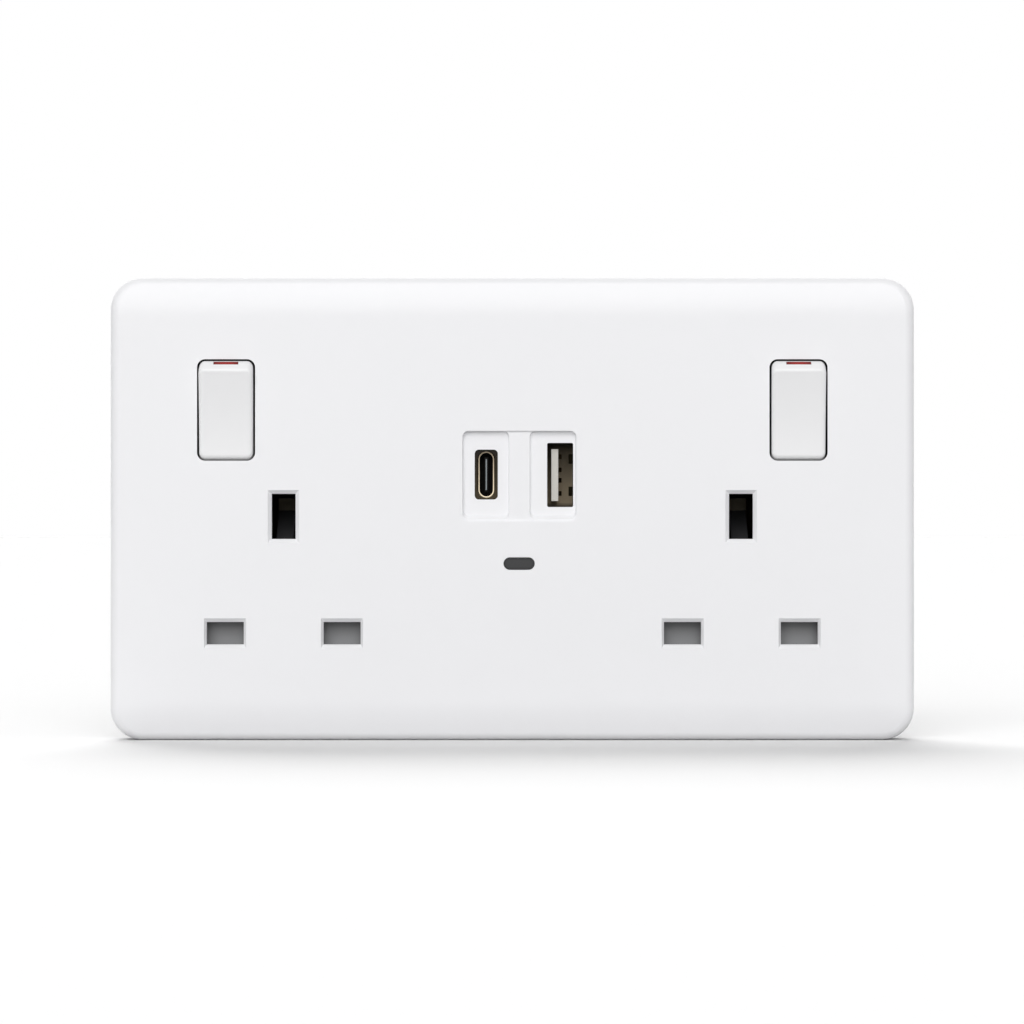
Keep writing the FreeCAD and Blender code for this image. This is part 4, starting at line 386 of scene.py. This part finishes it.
brass_strip = metal("brass strip", tone(221, 188, 124), 0.32)
# Painted shade: the earth strap is brass toned dark, as it lies deep in the earth slot.
earth_brass_painted_shade = metal("earth brass in painted shade", tone(96, 90, 78), 0.45, (0.12, 1.0, 1.0), 0.35)
brass_block = metal("brass block", tone(214, 182, 112), 0.26, (0.15, 1.0, 1.0), 0.18)
# Painted shade: the USB-A contacts toned dark brown, far darker than their metal, deep in the port.
bronze_painted_shade = metal("contact bronze", tone(80, 66, 44), 0.40, (1.0, 1.0, 0.3), 0.30)
silver_steel = metal("zinc plated steel", tone(196, 197, 200), 0.30, (1.0, 1.0, 1.0), 0.20)
spring_steel = metal("spring wire", tone(188, 190, 194), 0.26, (1.0, 1.0, 1.0), 0.12)
# Painted shade: the USB-A shell toned far darker than tinned steel, for the inside of the port.
shell_steel_painted_shade = metal("tinned shell", tone(70, 64, 46), 0.45, (1.0, 0.15, 1.0), 0.35)
plate_steel = metal("tongue plate", tone(104, 108, 110), 0.35, (1.0, 1.0, 0.2), 0.15)
gilt = metal("gilt shell", tone(204, 190, 164), 0.34, (1.0, 0.2, 1.0), 0.22)
middle, half = middle_and_half("usb_c_shell")
# Painted shade: the gilt shell darker towards its top.
rise = gilt.along("Z").ramp(middle.z - TOP_START * half.z, middle.z + half.z)
gilt.lay(rise, tone(112, 102, 88))
print("metals:", len(bpy.data.materials))

# %% [markdown]
# The circuit board is green lacquer over copper: where a track runs, the lacquer is lighter and
# stands a few hundredths proud. A cell pattern measured in city blocks gives right-angled tracks.
# The wound parts have a yellow film with an overlap every few millimetres, the cores are dull
# pressed powder with fine pores, and the two cans have a dark sleeve with one pale stripe.

# %% Board, tape, ferrite and sleeve
TRACK_CELL, TRACK_SHARPNESS, TRACK_HEIGHT = 3.2 * MM, 5.0, 0.035 * MM
FILM_WIDTH, FILM_STEP, OVERLAP_START = 2.6 * MM, 0.05 * MM, 0.9
PORE_SIZE, PORE_DEPTH = 0.25 * MM, 0.02 * MM
STRIPE_SIDE = 10.6 * MM


def lacquered_board():
    """Green lacquer: tracks are the borders between square-metric cells, lighter and raised."""
    finish = Finish("board lacquer")
    cells = {"Vector": finish.place, "Scale": 1 / TRACK_CELL, "Randomness": 0.85}
    nearest = finish.node("ShaderNodeTexVoronoi", {"distance": "MANHATTAN", "feature": "F1"}, cells)
    second = finish.node("ShaderNodeTexVoronoi", {"distance": "MANHATTAN", "feature": "F2"}, cells)
    track = (1.0 - (second - nearest) * TRACK_SHARPNESS).limited()
    finish.paint(finish.mix(track, tone(18, 74, 44), tone(44, 116, 66)))
    finish.set(Roughness=0.34)
    finish.relief(track, TRACK_HEIGHT)
    return finish


def wound_tape():
    """Yellow film: a sharp step at each overlap, set by the fraction of the height."""
    finish = Finish("winding film")
    turns = (finish.along("Z") / FILM_WIDTH).fraction()
    edge = turns.above(OVERLAP_START)
    finish.paint(finish.mix(edge, tone(222, 178, 48), tone(176, 134, 30)))
    finish.set(Roughness=finish.noise(1.2 * MM) * 0.15 + 0.20)
    finish.relief(turns, FILM_STEP)
    return finish


def pressed_ferrite():
    """Dark pressed powder: dull, with fine pores."""
    finish = Finish("pressed ferrite")
    pores = finish.noise(PORE_SIZE, 4.0)
    finish.paint(finish.mix(pores, tone(44, 44, 46), tone(74, 74, 76)))
    finish.set(Roughness=pores * 0.2 + 0.55)
    finish.relief(pores, PORE_DEPTH)
    return finish


def can_sleeve():
    """Shrink sleeve of a capacitor: dark film with one pale stripe down its side."""
    finish = Finish("can sleeve")
    board_low, board_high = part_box("usb_board")
    stripe = (finish.along("X") - ((board_low.x + board_high.x) / 2 + STRIPE_SIDE)).above(0.0)
    finish.paint(finish.mix(finish.noise(6 * MM), tone(30, 34, 54), tone(40, 46, 70)))
    finish.lay(stripe, tone(176, 180, 190))
    finish.set(Roughness=0.28)
    finish.relief(finish.noise(1.5 * MM), 0.01 * MM)
    return finish


board_green, tape_yellow = lacquered_board(), wound_tape()
ferrite_grey, sleeve_blue = pressed_ferrite(), can_sleeve()
print("all finishes:", len(bpy.data.materials))

# %% [markdown]
# Each piece of the frame now gets its finish. The frame's meshes stay as they are: only the
# material slots change. A table of finishes and node names keeps the choice in one place.

# %% Finish every piece of the frame
def both(*names):
    """The left and the right piece of each name."""
    return [f"{name}_{side}" for name in names for side in PAIRS]


FINISHES = [
    (white_front, ["cover_plate"]),
    (white_rocker, both("rocker")),
    (flag_red, both("rocker_flag")),
    (black_frame, ["carrier", *both("shutter_cam")]),
    (back_moulding, ["rear_housing"]),
    (shutter_grey, both("shutter")),
    (plunger_grey, both("plunger")),
    (brass_strip, ["live_busbar", "neutral_busbar", *both("moving_contact", "switched_live")]),
    (earth_brass_painted_shade, ["earth_strap"]),
    (brass_block, ["terminal_neutral", "terminal_live", *both("terminal_earth")]),
    (silver_steel, ["terminal_screws", "assembly_screws", "board_screws"]),
    (shell_steel_painted_shade, ["usb_a_shell"]),
    (gilt, ["usb_c_shell"]),
    (bronze_painted_shade, ["usb_a_contacts"]),
    (plate_steel, ["usb_c_plate"]),
    (tongue_white, ["usb_a_tongue"]),
    (collar_brown, ["usb_c_collar"]),
    (tongue_black, ["usb_c_tongue"]),
    (lens_smoke, ["indicator_lens"]),
    (lamp_clear, ["indicator_lamp"]),
    (board_green, ["usb_board"]),
    (tape_yellow, ["transformer_winding"]),
    (ferrite_grey, ["transformer_core", "inductor"]),
    (sleeve_blue, ["capacitors"]),
    (chip_black, ["control_chip"]),
    (spring_steel, both("plunger_spring", "shutter_spring")),
]
for finish, names in FINISHES:
    for name in names:
        mesh = frame["nodes"][name].data
        mesh.materials.clear()
        mesh.materials.append(finish.material)
finished = {name for finish, names in FINISHES for name in names}
print("finished", len(finished), "of", len(frame["nodes"]), "pieces")
print("left over:", sorted(set(frame["nodes"]) - finished))

# %% [markdown]
# A compression spring is round wire on a helix. Its first and last turns lie flat so that it
# stands square on its seat, and the turns between are open. The wire is a circle carried along
# that helix, so it is a grid: one direction goes along the wire and the other round it.

# %% Surfaces from grids
STEPS_PER_TURN, STEPS_ROUND_WIRE = 28, 14
END_CLIMB = 1.4


def grid_object(name, points, finish, body):
    """A closed tube from a grid of points: rows along the wire, each row once round it.

    The ends are closed by a fan of triangles round the mean of the end row.
    """
    rows, around = points.shape[:2]
    corner = np.arange(rows * around).reshape(rows, around)
    following = np.roll(corner, -1, axis=1)
    quads = np.stack([corner[:-1], following[:-1], following[1:], corner[1:]], axis=-1)
    first, last = rows * around, rows * around + 1
    caps = [np.stack([np.full(around, first), following[0], corner[0]], axis=-1),
            np.stack([np.full(around, last), corner[-1], following[-1]], axis=-1)]
    places = np.vstack([points.reshape(-1, 3), points[0].mean(0), points[-1].mean(0)])
    mesh = bpy.data.meshes.new(name)
    faces = quads.reshape(-1, 4).tolist() + np.vstack(caps).tolist()
    mesh.from_pydata(places.tolist(), [], faces)
    mesh.polygons.foreach_set("use_smooth", np.ones(len(mesh.polygons), bool))
    mesh.materials.append(finish.material)
    piece = bpy.data.objects.new(name, mesh)
    bpy.context.scene.collection.objects.link(piece)
    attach(piece, body)
    return piece


def wound_spring(start, direction, length, coil_radius, wire, open_turns):
    """Points of a compression spring.

    The centre line is start + h(t) direction + r (cos t sideways + sin t across). The height h(t)
    climbs one wire a turn over the first and last turn and evenly in between. Round the centre
    line, a circle of the wire's size stands square to its tangent.
    """
    sideways = np.array([1.0, 0.0, 0.0])
    across = np.cross(direction, sideways)
    turns = open_turns + 2
    turn = np.linspace(0, turns, int(turns * STEPS_PER_TURN) + 1)
    heights = [wire / 2, END_CLIMB * wire, length - END_CLIMB * wire, length - wire / 2]
    climb = np.interp(turn, [0, 1, turns - 1, turns], heights)
    angle = turn * 2 * np.pi
    radial = np.cos(angle)[:, None] * sideways + np.sin(angle)[:, None] * across
    centre = np.array(start) + climb[:, None] * direction + coil_radius * radial
    tangent = np.gradient(centre, axis=0)
    tangent /= np.linalg.norm(tangent, axis=1)[:, None]
    upward = np.cross(tangent, radial)
    around = np.linspace(0, 2 * np.pi, STEPS_ROUND_WIRE, endpoint=False)[None, :, None]
    ring = np.cos(around) * radial[:, None] + np.sin(around) * upward[:, None]
    return centre[:, None] + wire / 2 * ring


print("faces on one turn of wire:", STEPS_PER_TURN * STEPS_ROUND_WIRE)

# %% [markdown]
# The shutter spring stands between the carrier's peg and the top of the shutter's slot, and the
# plunger spring lies in the rocker's bore. On the socket both shorten when their piece moves; here
# each is wound at one length. Where the springs stand comes from the frame's boxes and joints.

# %% The four springs
WIRE = 0.35 * MM
SHUTTER_COIL, SHUTTER_TURNS = 1.3 * MM, 3
PLUNGER_COIL, PLUNGER_TURNS = 1.1 * MM, 2
BORE_BOTTOM, PLUNGER_SPRING = 3.55 * MM, 5.0 * MM
UP = np.array([0.0, 0.0, 1.0])


def make_spring(node, body, start, direction, length, coil_radius, open_turns):
    """One round spring in place of the frame's, fixed to the given body."""
    name = node.replace("spring", "spring_round")
    points = wound_spring(start, direction, length, coil_radius, WIRE, open_turns)
    piece = grid_object(name, points, spring_steel, body)
    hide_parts(node)
    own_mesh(piece)


for side in PAIRS:
    low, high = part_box(f"shutter_spring_{side}")
    foot = ((low.x + high.x) / 2, (low.y + high.y) / 2, low.z)
    make_spring(f"shutter_spring_{side}", "housing", foot, UP,
                high.z - low.z, SHUTTER_COIL, SHUTTER_TURNS)
    outward = -np.array(joints[f"plunger_{side}"]["axis"])
    seat = np.array(joints[f"rocker_{side}"]["pos_m"]) - BORE_BOTTOM * outward
    make_spring(f"plunger_spring_{side}", f"rocker_{side}", seat, outward,
                PLUNGER_SPRING, PLUNGER_COIL, PLUNGER_TURNS)

# %% [markdown]
# The photograph shows the plate straight on, standing on a white floor with a short soft shadow.
# The camera looks level, so the floor is seen only as a thin strip below the plate, and the
# distance decides how much of the shadow that strip holds. Lens and distance go together: the
# lens is worked out so that the plate fills the same part of the picture as in the photograph.
# The plate's edges are rounded, so its outline lies a little behind its face.

# %% Camera
FRAME_PIXELS = 1024
PLATE_PIXELS = (110.8, 913.9)
PLATE_CENTRE_PIXELS = (512.3, 508.9)
DISTANCE = 0.75
OUTLINE_BEHIND_FACE = 1.8 * MM
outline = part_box("cover_plate")[0].y + OUTLINE_BEHIND_FACE
pixel = (cad_high.x - cad_low.x) / (PLATE_PIXELS[1] - PLATE_PIXELS[0])
camera_data = bpy.data.cameras.new("camera")
camera_data.sensor_width = 36.0
camera_data.lens = camera_data.sensor_width * DISTANCE / (FRAME_PIXELS * pixel)
camera_data.clip_end = 20
camera = bpy.data.objects.new("camera", camera_data)
camera.location = ((FRAME_PIXELS / 2 - PLATE_CENTRE_PIXELS[0]) * pixel, outline - DISTANCE,
                   (PLATE_CENTRE_PIXELS[1] - FRAME_PIXELS / 2) * pixel)
camera.rotation_euler = (math.pi / 2, 0, 0)
bpy.context.scene.collection.objects.link(camera)
bpy.context.scene.camera = camera
print("lens in mm:", round(camera_data.lens, 1))

# %% [markdown]
# The floor is a wide white sheet. What the camera and reflections see is its own pale colour, and
# what it throws back at the plate is less, because in the photograph the lower edge of the plate
# is in its own shade. Close to the plate, where its shadow lies, it throws back more, which keeps
# the face even down to its lower edge.

# %% Floor
FLOOR_REACH, FLOOR_GAP = 6.0, 0.05 * MM
FLOOR_SEEN, FLOOR_STRAY, FLOOR_NEAR = 0.82, 0.38, 0.54
NEAR_REACH = 60 * MM
floor_mesh = bpy.data.meshes.new("floor")
corners = [(x * FLOOR_REACH, y * FLOOR_REACH, 0) for x, y in ((-1, -1), (1, -1), (1, 1), (-1, 1))]
floor_mesh.from_pydata(corners, [], [(0, 1, 2, 3)])
floor = bpy.data.objects.new("floor", floor_mesh)
floor.location.z = cad_low.z - FLOOR_GAP
bpy.context.scene.collection.objects.link(floor)
floor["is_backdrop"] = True


def grey(level):
    return (level, level, level, 1.0)


paper = Finish("floor")
near = 1.0 - abs(paper.along("Y") - face).ramp(0.0, NEAR_REACH)
stray = paper.mix(near, grey(FLOOR_STRAY), grey(FLOOR_NEAR))
paper.paint(paper.mix(paper.seen(), stray, grey(FLOOR_SEEN)))
paper.set(Roughness=0.9, Specular_IOR_Level=0.0)
floor_mesh.materials.append(paper.material)
print("floor level in mm:", round(floor.location.z / MM, 2))

# %% [markdown]
# Three lights and the world make the photograph's look. A broad light in front and above lights
# the face evenly and the top roll-off a little more. One above and behind throws the plate's
# shadow forward, and it is linked to the floor alone, so that the top edge keeps the thin grey
# line it has in the photograph. A weak and very broad one from behind lights only the object, for
# views of its back. Suns are used because their light is the same everywhere, so the floor stays
# white to its horizon.

# %% Lights
KEY_LEVEL, SHADOW_LEVEL, REAR_LEVEL, AMBIENT = 0.62, 0.76, 0.35, 0.34


def sun(name, azimuth, elevation, spread, level, floor_state=None):
    """A broad distant light. Level is what a white surface that faces it would show.

    With the floor's state INCLUDE it lights only the floor, and with EXCLUDE all but the floor.
    """
    lamp = bpy.data.lights.new(name, "SUN")
    lamp.angle = math.radians(spread)
    lamp.energy = level * math.pi
    holder = bpy.data.objects.new(name, lamp)
    holder.rotation_euler = (math.radians(90 - elevation), 0, math.radians(azimuth))
    bpy.context.scene.collection.objects.link(holder)
    if floor_state:
        group = bpy.data.collections.new(name)
        group.objects.link(floor)
        group.collection_objects[0].light_linking.link_state = floor_state
        holder.light_linking.receiver_collection = group
    print(name, "level on the floor:", round(level * math.sin(math.radians(elevation)), 2))


sun("key", -6, 29, 50, KEY_LEVEL)
sun("shadow", 192, 50, 42, SHADOW_LEVEL, "INCLUDE")
sun("rear", 180, 15, 90, REAR_LEVEL, "EXCLUDE")

# %% [markdown]
# The world fills the shade. What the camera and reflections see of it is plain white, which gives
# the white background, and its stray light on the object is much weaker. Light Path tells the
# two apart. The view transform is Standard, so that a tone shows about as it is written.

# %% World
world = bpy.data.worlds.new("world")
world.use_nodes = True
bpy.context.scene.world = world
sky = Nodes(world.node_tree)
strength = sky.seen() * (1.0 - AMBIENT) + AMBIENT
background = world.node_tree.nodes["Background"]
sky.fill(background.inputs["Color"], (1, 1, 1, 1))
sky.fill(background.inputs["Strength"], strength)
bpy.context.scene.view_settings.view_transform = "Standard"
print("sky level for stray light:", AMBIENT)

# %% [markdown]
# The last cell prints the finished object's box, which has to be the same as the frame's box
# printed after loading, since a finish never changes a size.

# %% Print the finished box
low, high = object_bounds()
print("finished box in mm:", [round((top - foot) / MM, 1) for foot, top in zip(low, high)])
